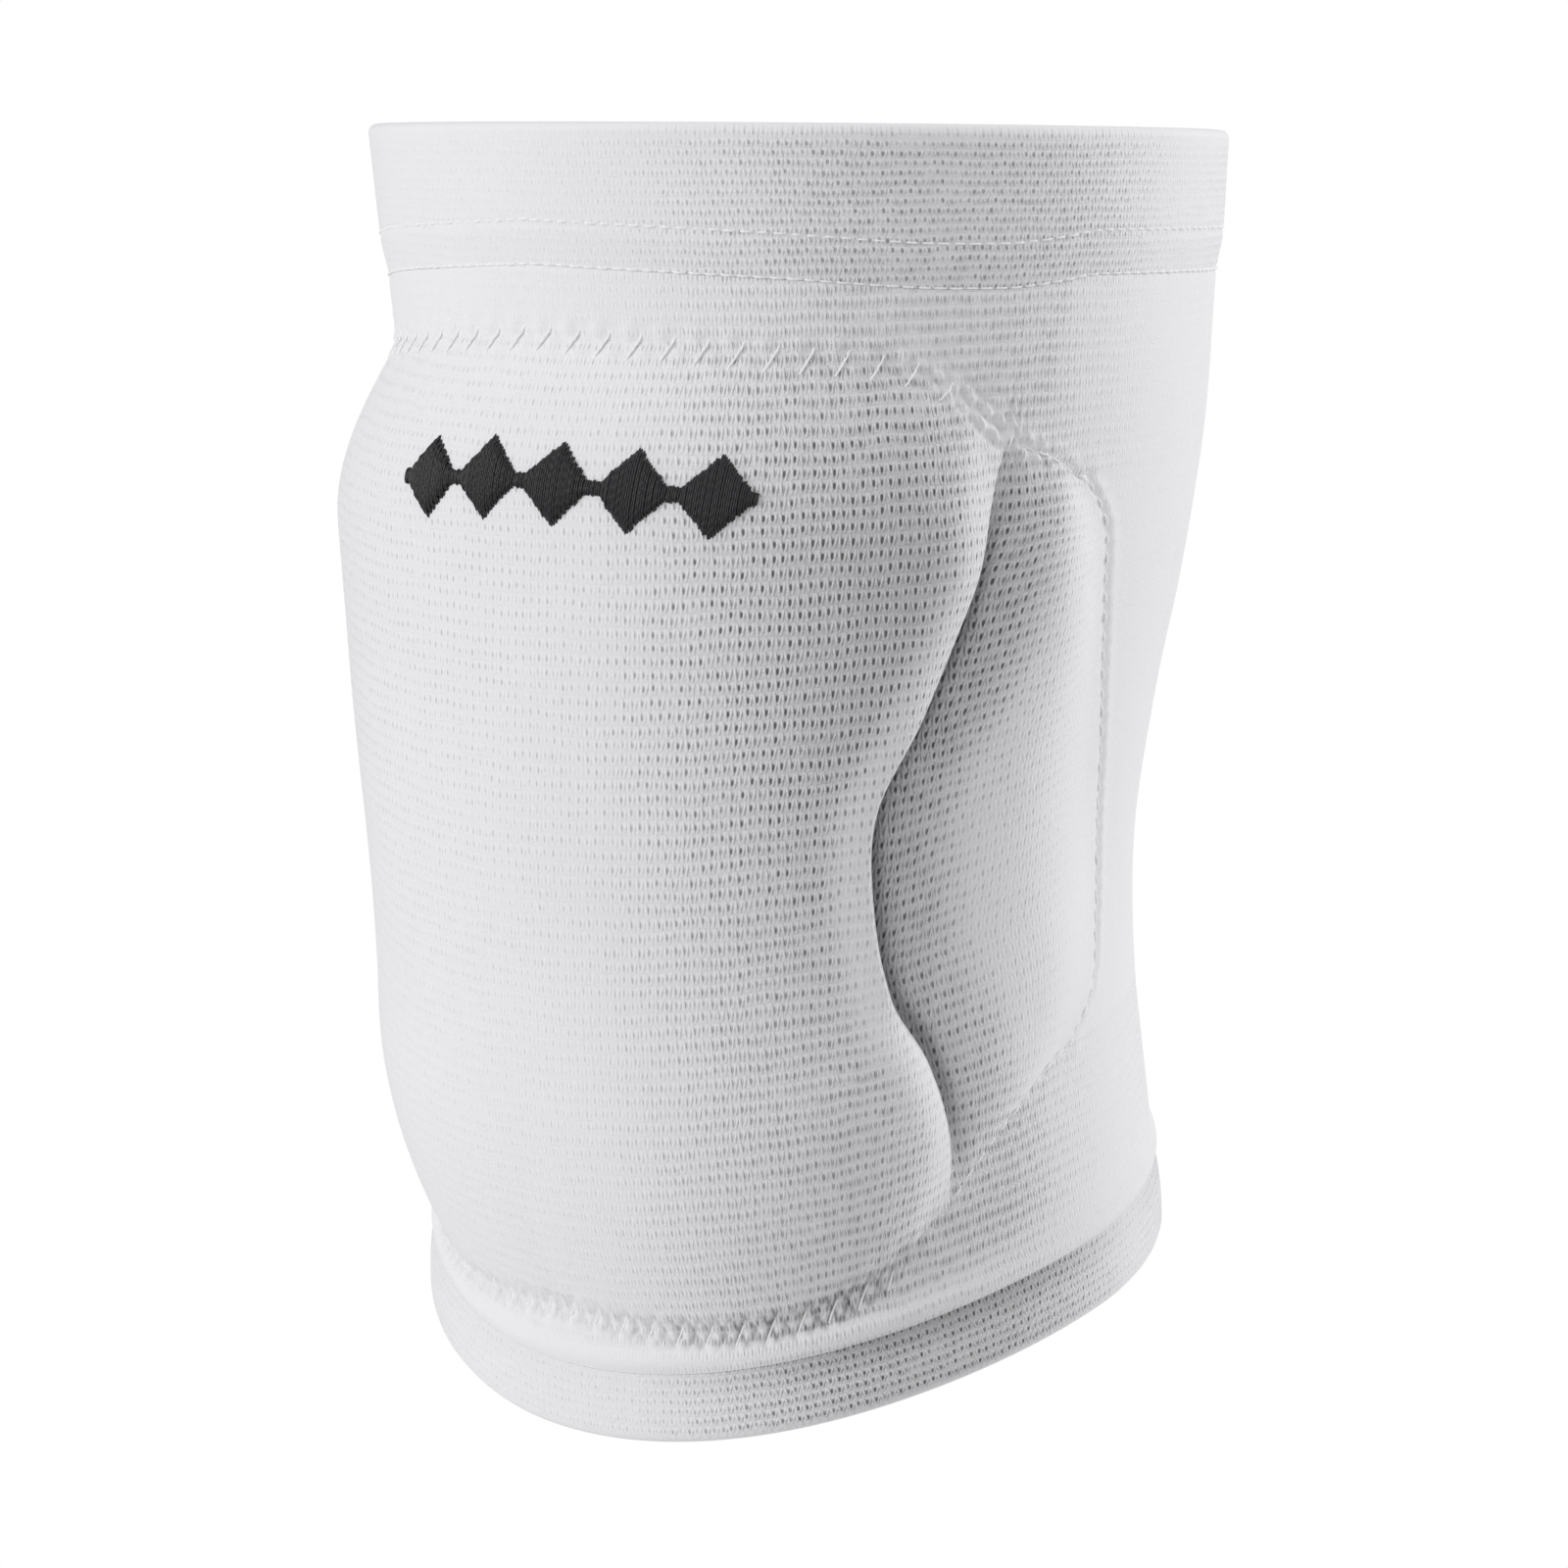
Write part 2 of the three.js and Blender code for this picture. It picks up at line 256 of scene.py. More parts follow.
@dataclass(frozen=True)
class Leg:
    """The grid on the leg and the foam that lies on it, in millimetres."""

    knee_to_top: float = 105
    knee_to_bottom: float = 69
    top_tilt: float = 0.8
    shin_dip: float = 13.3
    shin_point: float = 8.8
    side_skew: float = 4
    half_width: float = 64.2
    front: float = 63.8
    back: float = 63
    hem_height: float = 22.3
    band_height: float = 10.5
    roll_height: float = 3.8
    pad_crown: float = 13
    pad_side: float = 11
    pad_round: float = 6
    pad_top_taper: float = 27
    pad_bottom_taper: float = 34
    wing_crown: float = 6.5
    wing_peak: float = 0.6
    crease_floor: float = 1.2
    gap: float = 0.3

    def bottom(self, angle: Array) -> Array:
        """Height of the bottom rim at an angle round the leg."""
        front = np.cos(angle)
        dip = self.shin_dip * front + self.shin_point * np.maximum(front, 0) ** 2
        return -self.knee_to_bottom - dip - self.side_skew * np.sin(angle)

    def crease(self, up: Numbers) -> Numbers:
        """Angle of the crease for a share of the way up the pad."""
        return np.radians(PAD_OUTLINE.read("crease", up))

    def wing_edge(self, up: Numbers) -> Numbers:
        """Angle of the wing pad's outer edge for a share of the way up."""
        return np.radians(PAD_OUTLINE.read("wing_edge", up))

    def spot(self, station: Array, row: Array) -> Spot:
        """Place points of the grid on the leg.

        Args:
            station: Stations of the points.
            row: Rows of the points, in a shape that fits the stations.

        Returns:
            The points' places.
        """
        station, row = np.broadcast_arrays(np.asarray(station, float), np.asarray(row, float))
        side = np.abs(station)
        up = np.clip(row - Row.PAD_BOTTOM, 0, 1)
        crease, edge = self.crease(up), self.wing_edge(up)
        turn = np.where(
            side < Side.CREASE,
            side * crease,
            np.where(
                side < Side.WING_EDGE,
                mix(crease, edge, side - Side.CREASE),
                mix(edge, np.pi, side - Side.WING_EDGE),
            ),
        )
        angle = np.sign(station) * turn
        height = self.knee_to_top + self.top_tilt * np.cos(angle) - self.bottom(angle)
        band = self.band_height / height
        roll = band + self.roll_height / height
        hem = 1 - self.hem_height * PAD_ENDS.read("hem", side) / height
        levels = np.stack(
            [
                np.zeros_like(height),
                band,
                roll,
                mix(roll, hem, PAD_ENDS.read("bottom", side)),
                mix(roll, hem, PAD_ENDS.read("top", side)),
                hem,
                np.ones_like(height),
            ]
        )
        below = np.clip(np.floor(row), 0, Row.HEM).astype(int)
        low = np.take_along_axis(levels, below[None], 0)[0]
        high = np.take_along_axis(levels, below[None] + 1, 0)[0]
        return Spot(station, row, angle, height, mix(low, high, row - below), levels)

    def foam(self, spot: Spot, inset: float = 0.0) -> Array:
        """Thickness of the foam, with the edge drawn back by the inset."""
        ends = ease(spot.rise(Row.PAD_BOTTOM) / self.pad_bottom_taper)
        ends = ends * ease(-spot.rise(Row.PAD_TOP) / self.pad_top_taper)
        across = np.clip(spot.side - Side.CREASE, 0, 1)
        rise = ease(across / self.wing_peak)
        fall = 1 - ease((across - self.wing_peak) / (1 - self.wing_peak)) ** 2
        wing = mix(self.crease_floor * fall, self.wing_crown * fall, rise)
        from_crease = (self.crease(spot.up) - np.abs(spot.angle)) * self.front - inset
        rounded = np.sqrt(1 - (1 - np.clip(from_crease / self.pad_round, 0, 1)) ** 2)
        crown = mix(self.pad_crown, self.pad_side, np.clip(spot.side, 0, 1) ** 2)
        main = mix(self.crease_floor, crown, rounded)
        thick = np.where(spot.side > Side.CREASE, wing, main)
        return np.where(spot.side >= Side.WING_EDGE, 0, ends * thick)

    def point(self, spot: Spot, outward: Array) -> Array:
        """Points at a distance from the leg.

        Args:
            spot: Places on the grid.
            outward: How far out from the leg each point is.

        Returns:
            The points, with their x, y and z on the last axis.
        """
        side = self.half_width * LEG_SECTIONS.read("side", spot.level)
        front = self.front * LEG_SECTIONS.read("front", spot.level)
        back = self.back * LEG_SECTIONS.read("back", spot.level)
        depth = np.where(np.cos(spot.angle) > 0, front, back)
        normal_x, normal_y = np.sin(spot.angle) / side, -np.cos(spot.angle) / depth
        length = np.hypot(normal_x, normal_y)
        return np.stack(
            [
                side * np.sin(spot.angle) + outward * normal_x / length,
                -depth * np.cos(spot.angle) + outward * normal_y / length,
                self.bottom(spot.angle) + spot.level * spot.height,
            ],
            axis=-1,
        )

    def stations_at(self, angles: Array, up: float) -> Array:
        """Stations of angles round the leg, for a share of the way up the pad."""
        turns = np.array([0.0, self.crease(up), self.wing_edge(up), np.pi])
        return np.sign(angles) * np.interp(np.abs(angles), turns, np.arange(4.0))

    def row_near(self, station: Array, row: Row, rise: Array) -> Array:
        """The row that lies some millimetres above a named row."""
        spot = self.spot(station, np.full_like(station, float(row)))
        above = (spot.levels[min(row + 1, Row.TOP)] - spot.levels[row]) * spot.height
        below = (spot.levels[row] - spot.levels[max(row - 1, 0)]) * spot.height
        return row + np.where(rise > 0, rise / np.maximum(above, 1), rise / np.maximum(below, 1))


# Meshes


def grid_mesh(name: str, points: Array, maps: dict[str, Array]) -> bpy.types.Mesh:
    """Move a flat grid onto a surface and close it where its sides meet.

    Args:
        name: The mesh's name.
        points: Millimetres, one row of the grid after the other.
        maps: UV maps by name, with two numbers for each point.

    Returns:
        The smooth mesh, in metres.
    """
    steps, columns = points.shape[0] - 1, points.shape[1] - 1
    mesh = bpy.data.meshes.new(name)
    bm = bmesh.new()
    bm.loops.layers.uv.new(next(iter(maps)))
    bmesh.ops.create_grid(bm, x_segments=columns, y_segments=steps, size=1, calc_uvs=True)
    bm.to_mesh(mesh)
    bm.free()
    mesh.vertices.foreach_set("co", (points * MM).ravel())
    share = np.empty(len(mesh.loops) * 2, dtype=np.float32)
    mesh.uv_layers[0].data.foreach_get("uv", share)
    at = np.rint(share.reshape(-1, 2) * (columns, steps)).astype(int)
    for map_name, values in maps.items():
        layer = mesh.uv_layers.get(map_name) or mesh.uv_layers.new(name=map_name)
        layer.data.foreach_set("uv", values[at[:, 1], at[:, 0]].ravel().astype(np.float32))
    bm = bmesh.new()
    bm.from_mesh(mesh)
    bmesh.ops.remove_doubles(bm, verts=bm.verts, dist=0.002 * MM)
    bmesh.ops.dissolve_degenerate(bm, edges=bm.edges, dist=0.001 * MM)
    bm.to_mesh(mesh)
    bm.free()
    mesh.shade_smooth()
    return mesh


def add_object(name: str, data: bpy.types.ID) -> bpy.types.Object:
    """Put a mesh, a light or a camera in the scene."""
    thing = bpy.data.objects.new(name, data)
    bpy.context.scene.collection.objects.link(thing)
    return thing


def add_piece(
    name: str, mesh: bpy.types.Mesh, finish: bpy.types.Material
) -> bpy.types.Object:
    """Put a mesh in the scene as a piece of the knee pad.

    Args:
        name: The piece's name.
        mesh: Its mesh, already in place.
        finish: Its material.

    Returns:
        The new object, which moves with the one body of the part.
    """
    piece = add_object(name, mesh)
    mesh.materials.append(finish)
    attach(piece, "root")
    log.info("%s: %d faces", name, len(mesh.polygons))
    return piece


def unit(vectors: Array) -> Array:
    """Vectors of the same direction and length 1."""
    return vectors / np.linalg.norm(vectors, axis=-1, keepdims=True)


def normals_of(face: Face, station: Array, row: Array) -> Array:
    """Outward unit normals of a surface at points of the grid."""
    step = 0.002
    along = face(station + step, row) - face(station - step, row)
    up = face(station, row + step) - face(station, row - step)
    return unit(np.cross(along, up))


def run_along(points: Array) -> Array:
    """Distance along a path to each of its points."""
    steps = np.linalg.norm(np.diff(points, axis=0), axis=1)
    return np.concatenate([[0.0], np.cumsum(steps)])


def even_steps(points: Array, pitch: float) -> tuple[Array, float]:
    """Positions along a path at even distances.

    Args:
        points: The path's points, in millimetres.
        pitch: The distance wanted between positions.

    Returns:
        Positions as indices of the points, and the path's length.
    """
    run = run_along(points)
    count = max(2, round(run[-1] / pitch))
    index = np.interp(np.linspace(0, run[-1], count + 1), run, np.arange(len(run)))
    return index, float(run[-1])


@dataclass(frozen=True)
class Thread:
    """A sewing thread, laid as a tube along points with their normals."""

    radius: float = 0.19
    sides: int = 6
    twist_pitch: float = 0.9

    def mesh(self, name: str, path: Array, normals: Array) -> bpy.types.Mesh:
        """Make the tube.

        Args:
            name: The mesh's name.
            path: The centreline's points, in millimetres.
            normals: The direction away from the cloth at each point.

        Returns:
            A closed tube that ends in a point at each end.
        """
        ahead = unit(np.gradient(path, axis=0))
        across = unit(np.cross(ahead, normals))
        away = np.cross(across, ahead)
        size = np.full(len(path), self.radius)
        size[[0, -1]] = 0
        turn = np.linspace(0, 2 * np.pi, self.sides + 1)[:, None, None]
        ring = np.cos(turn) * away + np.sin(turn) * across
        points = path + ring * size[:, None]
        points[-1] = points[0]
        length = np.broadcast_to(run_along(path) / self.twist_pitch, ring.shape[:2])
        around = np.broadcast_to(np.linspace(0, 1, self.sides + 1)[:, None], length.shape)
        return grid_mesh(name, points, {"twist": np.stack([length, around], axis=-1)})


# Materials

Level = Union["Signal", float]


def operation(name: str, swapped: bool = False) -> Callable[..., Signal]:
    """Make a method of Signal that adds a Math node.

    Args:
        name: The node's operation.
        swapped: Whether the other number comes first.

    Returns:
        The method, which takes the other numbers and returns the result.
    """

    def method(signal: Signal, *others: Level) -> Signal:
        """Add the node."""
        values = (*others, signal) if swapped else (signal, *others)
        return signal.maker.maths(name, *values)

    return method


class Signal:
    """A number from a socket of a material, which Python's operators work on."""

    __add__ = __radd__ = operation("ADD")
    __mul__ = __rmul__ = operation("MULTIPLY")
    __sub__, __rsub__ = operation("SUBTRACT"), operation("SUBTRACT", swapped=True)
    __truediv__ = operation("DIVIDE")
    __abs__ = operation("ABSOLUTE")
    floor, sine = operation("FLOOR"), operation("SINE")
    at_least, at_most = operation("MAXIMUM"), operation("MINIMUM")

    def __init__(self, maker: MaterialMaker, socket: bpy.types.NodeSocket) -> None:
        """Keep the socket and the material that it belongs to."""
        self.maker = maker
        self.socket = socket

    def kept(self) -> Signal:
        """The number kept from 0 to 1."""
        return self.at_least(0.0).at_most(1.0)


class MaterialMaker:
    """A new material with one Principled shader, and ways to add nodes to it."""

    def __init__(self, name: str, roughness: float, colour: Colour) -> None:
        """Start the material with an even colour and roughness."""
        self.material = bpy.data.materials.new(name)
        self.material.use_nodes = True
        self.tree = self.material.node_tree
        self.tree.nodes.clear()
        self.shader = self.node("ShaderNodeBsdfPrincipled", {}, {"Roughness": roughness})
        self.shader.inputs["Base Color"].default_value = (*colour, 1)
        output = self.node("ShaderNodeOutputMaterial", {}, {})
        self.tree.links.new(self.shader.outputs["BSDF"], output.inputs["Surface"])
        self.material.diffuse_color = (*colour, 1)

    def node(self, kind: str, settings: dict, inputs: dict) -> bpy.types.Node:
        """Add a node.

        Args:
            kind: The node's type.
            settings: Its settings, which are made first.
            inputs: Values, signals or sockets by the identifier of its sockets.

        Returns:
            The node.
        """
        node = self.tree.nodes.new(kind)
        for name, value in settings.items():
            setattr(node, name, value)
        sockets = {socket.identifier: socket for socket in node.inputs}
        for name, value in inputs.items():
            if isinstance(value, Signal):
                self.tree.links.new(value.socket, sockets[name])
            elif isinstance(value, bpy.types.NodeSocket):
                self.tree.links.new(value, sockets[name])
            else:
                sockets[name].default_value = value
        return node

    def maths(self, operation: str, *values: Level) -> Signal:
        """Add a Math node and return its number."""
        inputs = dict(zip(("Value", "Value_001"), values))
        node = self.node("ShaderNodeMath", {"operation": operation}, inputs)
        return Signal(self, node.outputs[0])

    def parts(self, vector: bpy.types.NodeSocket) -> tuple[Signal, Signal, Signal]:
        """Split a vector into its three numbers."""
        node = self.node("ShaderNodeSeparateXYZ", {}, {"Vector": vector})
        return tuple(Signal(self, socket) for socket in node.outputs)

    def map_parts(self, name: str) -> tuple[Signal, Signal]:
        """The two numbers of a UV map."""
        node = self.node("ShaderNodeUVMap", {"uv_map": name}, {})
        across, up, _ = self.parts(node.outputs[0])
        return across, up

    def noise(self, scale: float, detail: float) -> bpy.types.Node:
        """Smooth noise over the object, with a number and a colour."""
        place = self.node("ShaderNodeTexCoord", {}, {}).outputs["Object"]
        inputs = {"Vector": place, "Scale": scale, "Detail": detail}
        return self.node("ShaderNodeTexNoise", {}, inputs)

    def cloud(self, scale: float, detail: float) -> Signal:
        """The number of smooth noise, from about 0 to 1."""
        return Signal(self, self.noise(scale, detail).outputs["Fac"])

    def chance(self, x: Level, y: Level) -> tuple[Signal, Signal, Signal]:
        """Three random numbers for each pair of whole numbers."""
        place = self.node("ShaderNodeCombineXYZ", {}, {"X": x, "Y": y, "Z": 3.0}).outputs[0]
        settings = {"noise_dimensions": "3D"}
        node = self.node("ShaderNodeTexWhiteNoise", settings, {"Vector": place})
        return self.parts(node.outputs["Color"])

    def paint(self, share: Signal, low: Colour, high: Colour) -> None:
        """Paint the surface with a mix of two colours."""
        inputs = {"Factor_Float": share, "A_Color": (*low, 1), "B_Color": (*high, 1)}
        node = self.node("ShaderNodeMix", {"data_type": "RGBA"}, inputs)
        mixed = next(socket for socket in node.outputs if socket.identifier == "Result_Color")
        self.tree.links.new(mixed, self.shader.inputs["Base Color"])

    def emboss(self, height: Signal, depth: float) -> None:
        """Raise the surface by a height, for a depth in millimetres."""
        inputs = {"Height": height, "Distance": depth * MM, "Strength": 1.0}
        bump = self.node("ShaderNodeBump", {}, inputs)
        self.tree.links.new(bump.outputs["Normal"], self.shader.inputs["Normal"])

    def soften(self, weight: float, roughness: float) -> None:
        """Give the surface an even sheen of loose fibres."""
        self.shader.inputs["Sheen Weight"].default_value = weight
        self.shader.inputs["Sheen Roughness"].default_value = roughness


@dataclass(frozen=True)
class KnitFinish:
    """Stretched knit: an eye in each stitch between two leaning legs, with painted shade in the
    eyes, between the legs and in the creases.
    """

    name: str
    colour: Colour = (0.87, 0.867, 0.887)
    shadow: Colour = (0.17, 0.168, 0.178)
    eye_width: float = 0.16
    eye_height: float = 0.28
    eye_taper: float = 0.4
    # Painted shade: how far the eyes and the gaps between the legs are darkened towards the
    # shadow colour.
    eye_shade: float = 0.62
    eye_depth: float = 0.6
    gap_shade: float = 0.13
    leg_gap: float = 0.28
    leg_lean: float = 0.22
    leg_width: float = 0.22
    leg_height: float = 0.65
    stagger: float = 0.0
    jitter: float = 0.16
    course_ridge: float = 0.16
    fuzz: float = 0.42
    fuzz_scale: float = 2500
    wander: float = 0.6
    wander_scale: float = 110
    cloud: float = 0.04
    cloud_scale: float = 55
    relief: float = 0.42
    roughness: float = 0.92
    sheen: float = 0.12

    def make(self) -> bpy.types.Material:
        """Build the material, which reads the weave, tone and fold maps."""
        maker = MaterialMaker(self.name, self.roughness, self.colour)
        across, up = maker.map_parts("weave")
        tone, eye_shade_share = maker.map_parts("tone")
        drift = maker.noise(self.wander_scale, 1.5)
        drift_x, drift_y, _ = maker.parts(drift.outputs["Color"])
        across = across + (drift_x - 0.5) * self.wander
        up = up + (drift_y - 0.5) * self.wander
        row_shift, _, _ = maker.chance(up.floor(), 7.0)
        across = across + (row_shift - 0.5) * self.jitter + up.floor() * self.stagger
        wale, course = across.floor(), up.floor()
        x, y = across - wale - 0.5, up - course - 0.5
        luck_x, luck_y, luck = maker.chance(wale, course)
        x, y = x + (luck_x - 0.5) * self.jitter, y + (luck_y - 0.5) * (self.jitter * 0.75)
        eye_x = x / (self.eye_width * (1.0 + y * self.eye_taper))
        eye_y = y / self.eye_height
        eye = (1.0 - eye_x * eye_x - eye_y * eye_y).kept() * (0.25 + 0.9 * luck)
        leg = (abs(x) - self.leg_gap - y * self.leg_lean) / self.leg_width
        leg = (1.0 - leg * leg).kept() * (1.0 - abs(y) * 1.7).kept() * (0.6 + 0.8 * luck_y)
        ridge = (1.0 - abs(y) * 2.0) * self.course_ridge
        fuzz = maker.cloud(self.fuzz_scale, 3.0) * self.fuzz
        height = (leg * self.leg_height + ridge - eye * self.eye_depth) * tone
        height = height + (fuzz + luck_x * 0.12) * (0.4 + 0.6 * tone)
        cloud = maker.cloud(self.cloud_scale, 2.0)
        painted_shade, _ = maker.map_parts("fold")
        # Painted shade in the eyes and between the legs, scaled by the tone map, plus painted
        # shade from the fold map and a faint random mottle.
        eye_and_gap_shade = eye * self.eye_shade + (1.0 - leg) * self.gap_shade
        shade = (eye_and_gap_shade * eye_shade_share + (cloud - 0.5) * self.cloud + painted_shade).kept()
        maker.paint(shade, self.colour, self.shadow)
        maker.emboss(height, self.relief)
        maker.soften(self.sheen, 0.5)
        return maker.material


@dataclass(frozen=True)
class ThreadFinish:
    """Twisted thread, with its plies as a slanting ripple and painted shade in the grooves
    between them.
    """

    name: str
    colour: Colour
    groove_shade_colour: Colour
    roughness: float = 0.7
    fibre_scale: float = 2600
    relief: float = 0.08
    sheen: float = 0.1

    def make(self) -> bpy.types.Material:
        """Build the material, which reads the twist map."""
        maker = MaterialMaker(self.name, self.roughness, self.colour)
        along, around = maker.map_parts("twist")
        ply = ((along + around) * (2 * math.pi)).sine() * 0.5 + 0.5
        height = ply * 0.8 + maker.cloud(self.fibre_scale, 2.0) * 0.5
        # Painted shade: the low grooves between the plies are darkened towards the groove shade
        # colour.
        maker.paint((1.0 - height).kept() * 0.6, self.colour, self.groove_shade_colour)
        maker.emboss(height, self.relief)
        maker.soften(self.sheen, 0.4)
        return maker.material


@dataclass(frozen=True)
class Finishes:
    """The materials of the whole knee pad."""

    sleeve: bpy.types.Material
    hem: bpy.types.Material
    band: bpy.types.Material
    lining: bpy.types.Material
    white_thread: bpy.types.Material
    black_thread: bpy.types.Material

    @classmethod
    def make(cls) -> Finishes:
        """Build every material once."""
        white, white_groove_shade = (0.95, 0.95, 0.955), (0.88, 0.88, 0.89)
        black, black_groove_shade = (0.012, 0.012, 0.015), (0.002, 0.002, 0.003)
        return cls(
            sleeve=KnitFinish("sleeve_knit").make(),
            hem=KnitFinish(
                "hem_knit", eye_shade=0.35, gap_shade=0.06, stagger=0.5, course_ridge=0.1,
                relief=0.3,
            ).make(),
            band=KnitFinish("band_knit", eye_width=0.17, leg_lean=0.4, wander=0.4).make(),
            lining=KnitFinish("pad_lining", eye_shade=0.3, relief=0.2).make(),
            white_thread=ThreadFinish("white_thread", white, white_groove_shade, relief=0.04).make(),
            black_thread=ThreadFinish(
                "black_thread", black, black_groove_shade, roughness=0.42, relief=0.1, sheen=0.05
            ).make(),
        )


# Knitted cloth


@dataclass(frozen=True)
class Loop:
    """A loop round the section of a wall, which starts up its outside."""

    rows: Array
    across: Array
    past: Array

    @classmethod
    def around(
        cls, outer: Array, inner: Array, top_round: bool = False, bottom_round: bool = False
    ) -> Loop:
        """Go up the outer rows, over the top, down the inner rows and under.

        Args:
            outer: Rows of the outside, from the bottom.
            inner: Rows of the inside, from the bottom.
            top_round: Whether the top edge bulges past its row.
            bottom_round: Whether the bottom edge does.

        Returns:
            The loop, whose last step is its first.
        """
        turn = np.linspace(0, np.pi, 7)[1:-1]
        arc, bulge = (1 + np.cos(turn)) / 2, np.sin(turn) / 2
        flat = np.zeros(0)
        top, top_bulge = (arc, bulge) if top_round else (flat, flat)
        bottom, bottom_bulge = (1 - arc, -bulge) if bottom_round else (flat, flat)
        rows = [outer, np.full(len(top), outer[-1]), inner[::-1], np.full(len(bottom), outer[0])]
        across = [np.ones(len(outer)), top, np.zeros(len(inner)), bottom]
        past = [np.zeros(len(outer)), top_bulge, np.zeros(len(inner)), bottom_bulge]
        parts = [np.concatenate(part) for part in (rows, across, past)]
        return cls(*(np.append(part, part[0]) for part in parts))


@dataclass(frozen=True)
class KnitWall:
    """A knitted wall all the way round the leg."""

    name: str
    node: str
    slot: str
    leg: Leg
    wall: float
    wales: int
    course_pitch: float
    flat: tuple[float, float]
    joint: float = 0.04
    columns: int = 420
    up_the_pad: float = 0.0

    def rows(self) -> Loop:
        """The loop round the wall's section."""
        raise NotImplementedError

    def stations(self) -> Array:
        """Stations of the grid's columns, which are at even angles all round."""
        angles = np.linspace(-np.pi, np.pi, self.columns + 1)
        return self.leg.stations_at(angles, self.up_the_pad)

    def relief(self, spot: Spot) -> Array:
        """How far the outside stands out or sinks, in millimetres."""
        raise NotImplementedError

    def tone(self, spot: Spot) -> tuple[Array, Array]:
        """How strongly the stitches show, and how much painted shade fills their eyes."""
        return np.ones_like(spot.level), np.ones_like(spot.level)

    def lean(self, spot: Spot) -> Array:
        """How far the courses of stitches climb, in millimetres."""
        return np.zeros_like(spot.level)

    def relief_and_side_shade(self, spot: Spot) -> Array:
        """Strength of the stitches' relief and of their painted shade round the leg. Both are
        most on the knee's outer side, where the knit is pulled open and the shade is painted
        deepest.
        """
        turn = np.degrees(spot.angle)
        outer_side = fade(turn, 10, 51) * fade(turn, 100, 66)
        inner_side = fade(turn, -52, -72) * fade(turn, -115, -85)
        behind = fade(np.abs(turn), 92, 130)
        # Painted shade: this also scales the darkening of the eyes, the creases and the crossings
        # by side.
        return 0.2 + 1.35 * outer_side + 0.4 * inner_side + 0.3 * behind

    def painted_shade(self, spot: Spot) -> Array:
        """Painted shade in the cloth's folds and hollows, none here."""
        return np.zeros_like(spot.level)

    def sew(self, finish: bpy.types.Material) -> list[bpy.types.Object]:
        """Sew the wall's seams, where it has any."""
        return []

    def foam(self, spot: Spot) -> Array:
        """Thickness of the foam under the cloth."""
        return self.leg.foam(spot)

    def wale(self, spot: Spot) -> Array:
        """Number the columns of stitches round the leg.

        They lie at even angles, and some more of them go down the creases.

        Args:
            spot: Places on the grid, with the stations on the last axis.

        Returns:
            Numbers that are 0 at the middle of the front.
        """
        along = np.diff(spot.angle, axis=1) * self.leg.half_width
        longer = np.hypot(along, np.diff(self.foam(spot), axis=1)) - along
        extra = np.concatenate([np.zeros((len(along), 1)), np.cumsum(longer, axis=1)], axis=1)
        extra -= extra[:, [extra.shape[1] // 2]]
        by_crease = fade(spot.up, 0, 0.35) * fade(spot.up, 1, 0.65)
        share = 0.8 * by_crease * np.clip((Side.BACK - spot.side) / 2, 0, 1)
        turned = spot.angle * self.leg.half_width + extra * share
        return turned * self.wales / (2 * np.pi * self.leg.half_width)

    def outside(self, station: Array, row: Array) -> Array:
        """Points of the wall's outside."""
        spot = self.leg.spot(station, row)
        outward = self.leg.gap + self.foam(spot) + self.wall + self.relief(spot)
        return self.leg.point(spot, outward)

    def build(self, finish: bpy.types.Material) -> bpy.types.Object:
        """Model the wall and put it in the scene in place of its node.

        Args:
            finish: The knit's material.

        Returns:
            The cloth.
        """
        loop = self.rows()
        spot = self.leg.spot(self.stations()[None, :], loop.rows[:, None])
        across = loop.across[:, None]
        wall = self.wall + self.relief(spot)
        foam = mix(self.leg.foam(spot), self.foam(spot), across)
        outward = self.leg.gap + foam + across * wall
        points = self.leg.point(spot, outward)
        low, high = loop.rows.min(), loop.rows.max()
        up = ((loop.rows - low) / (high - low))[:, None]
        at_low = self.joint if low > Row.RIM else self.wall / 2
        at_high = self.joint if high < Row.TOP else self.wall / 2
        points[..., 2] += loop.past[:, None] * self.wall + mix(at_low, -at_high, up)
        wale = self.wale(spot)
        climb = spot.level * COURSE_SPAN - self.lean(spot)
        face = fade(across, 0.85, 1.0) + 0.3 * (across == 0)
        relief, eye_shade_share = self.tone(spot)
        relief_and_side_shade = self.relief_and_side_shade(spot)
        # Painted shade for the creases, the stitch crossings and the band under the roll goes to
        # the fold map.
        painted_shade = self.painted_shade(spot) * face
        maps = {
            "weave": np.stack([wale, climb / self.course_pitch], axis=-1),
            "tone": np.stack([relief * face * relief_and_side_shade, eye_shade_share * face * relief_and_side_shade], axis=-1),
            "fold": np.stack([painted_shade, painted_shade], axis=-1),
        }
        cloth = add_piece(self.name, grid_mesh(self.name, points, maps), finish)
        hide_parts(self.node)
        return cloth


def unevenness(spot: Spot) -> Array:
    """Slow waves of stretched cloth, from about -1 to 1."""
    waves = ((0.4, 5, 9, 0.6), (0.3, 9, -14, 2.1), (0.2, 14, 23, 4.0), (0.2, 3, 41, 1.3))
    return sum(
        size * np.sin(around * spot.angle + up * spot.level + shift)
        for size, around, up, shift in waves
    )


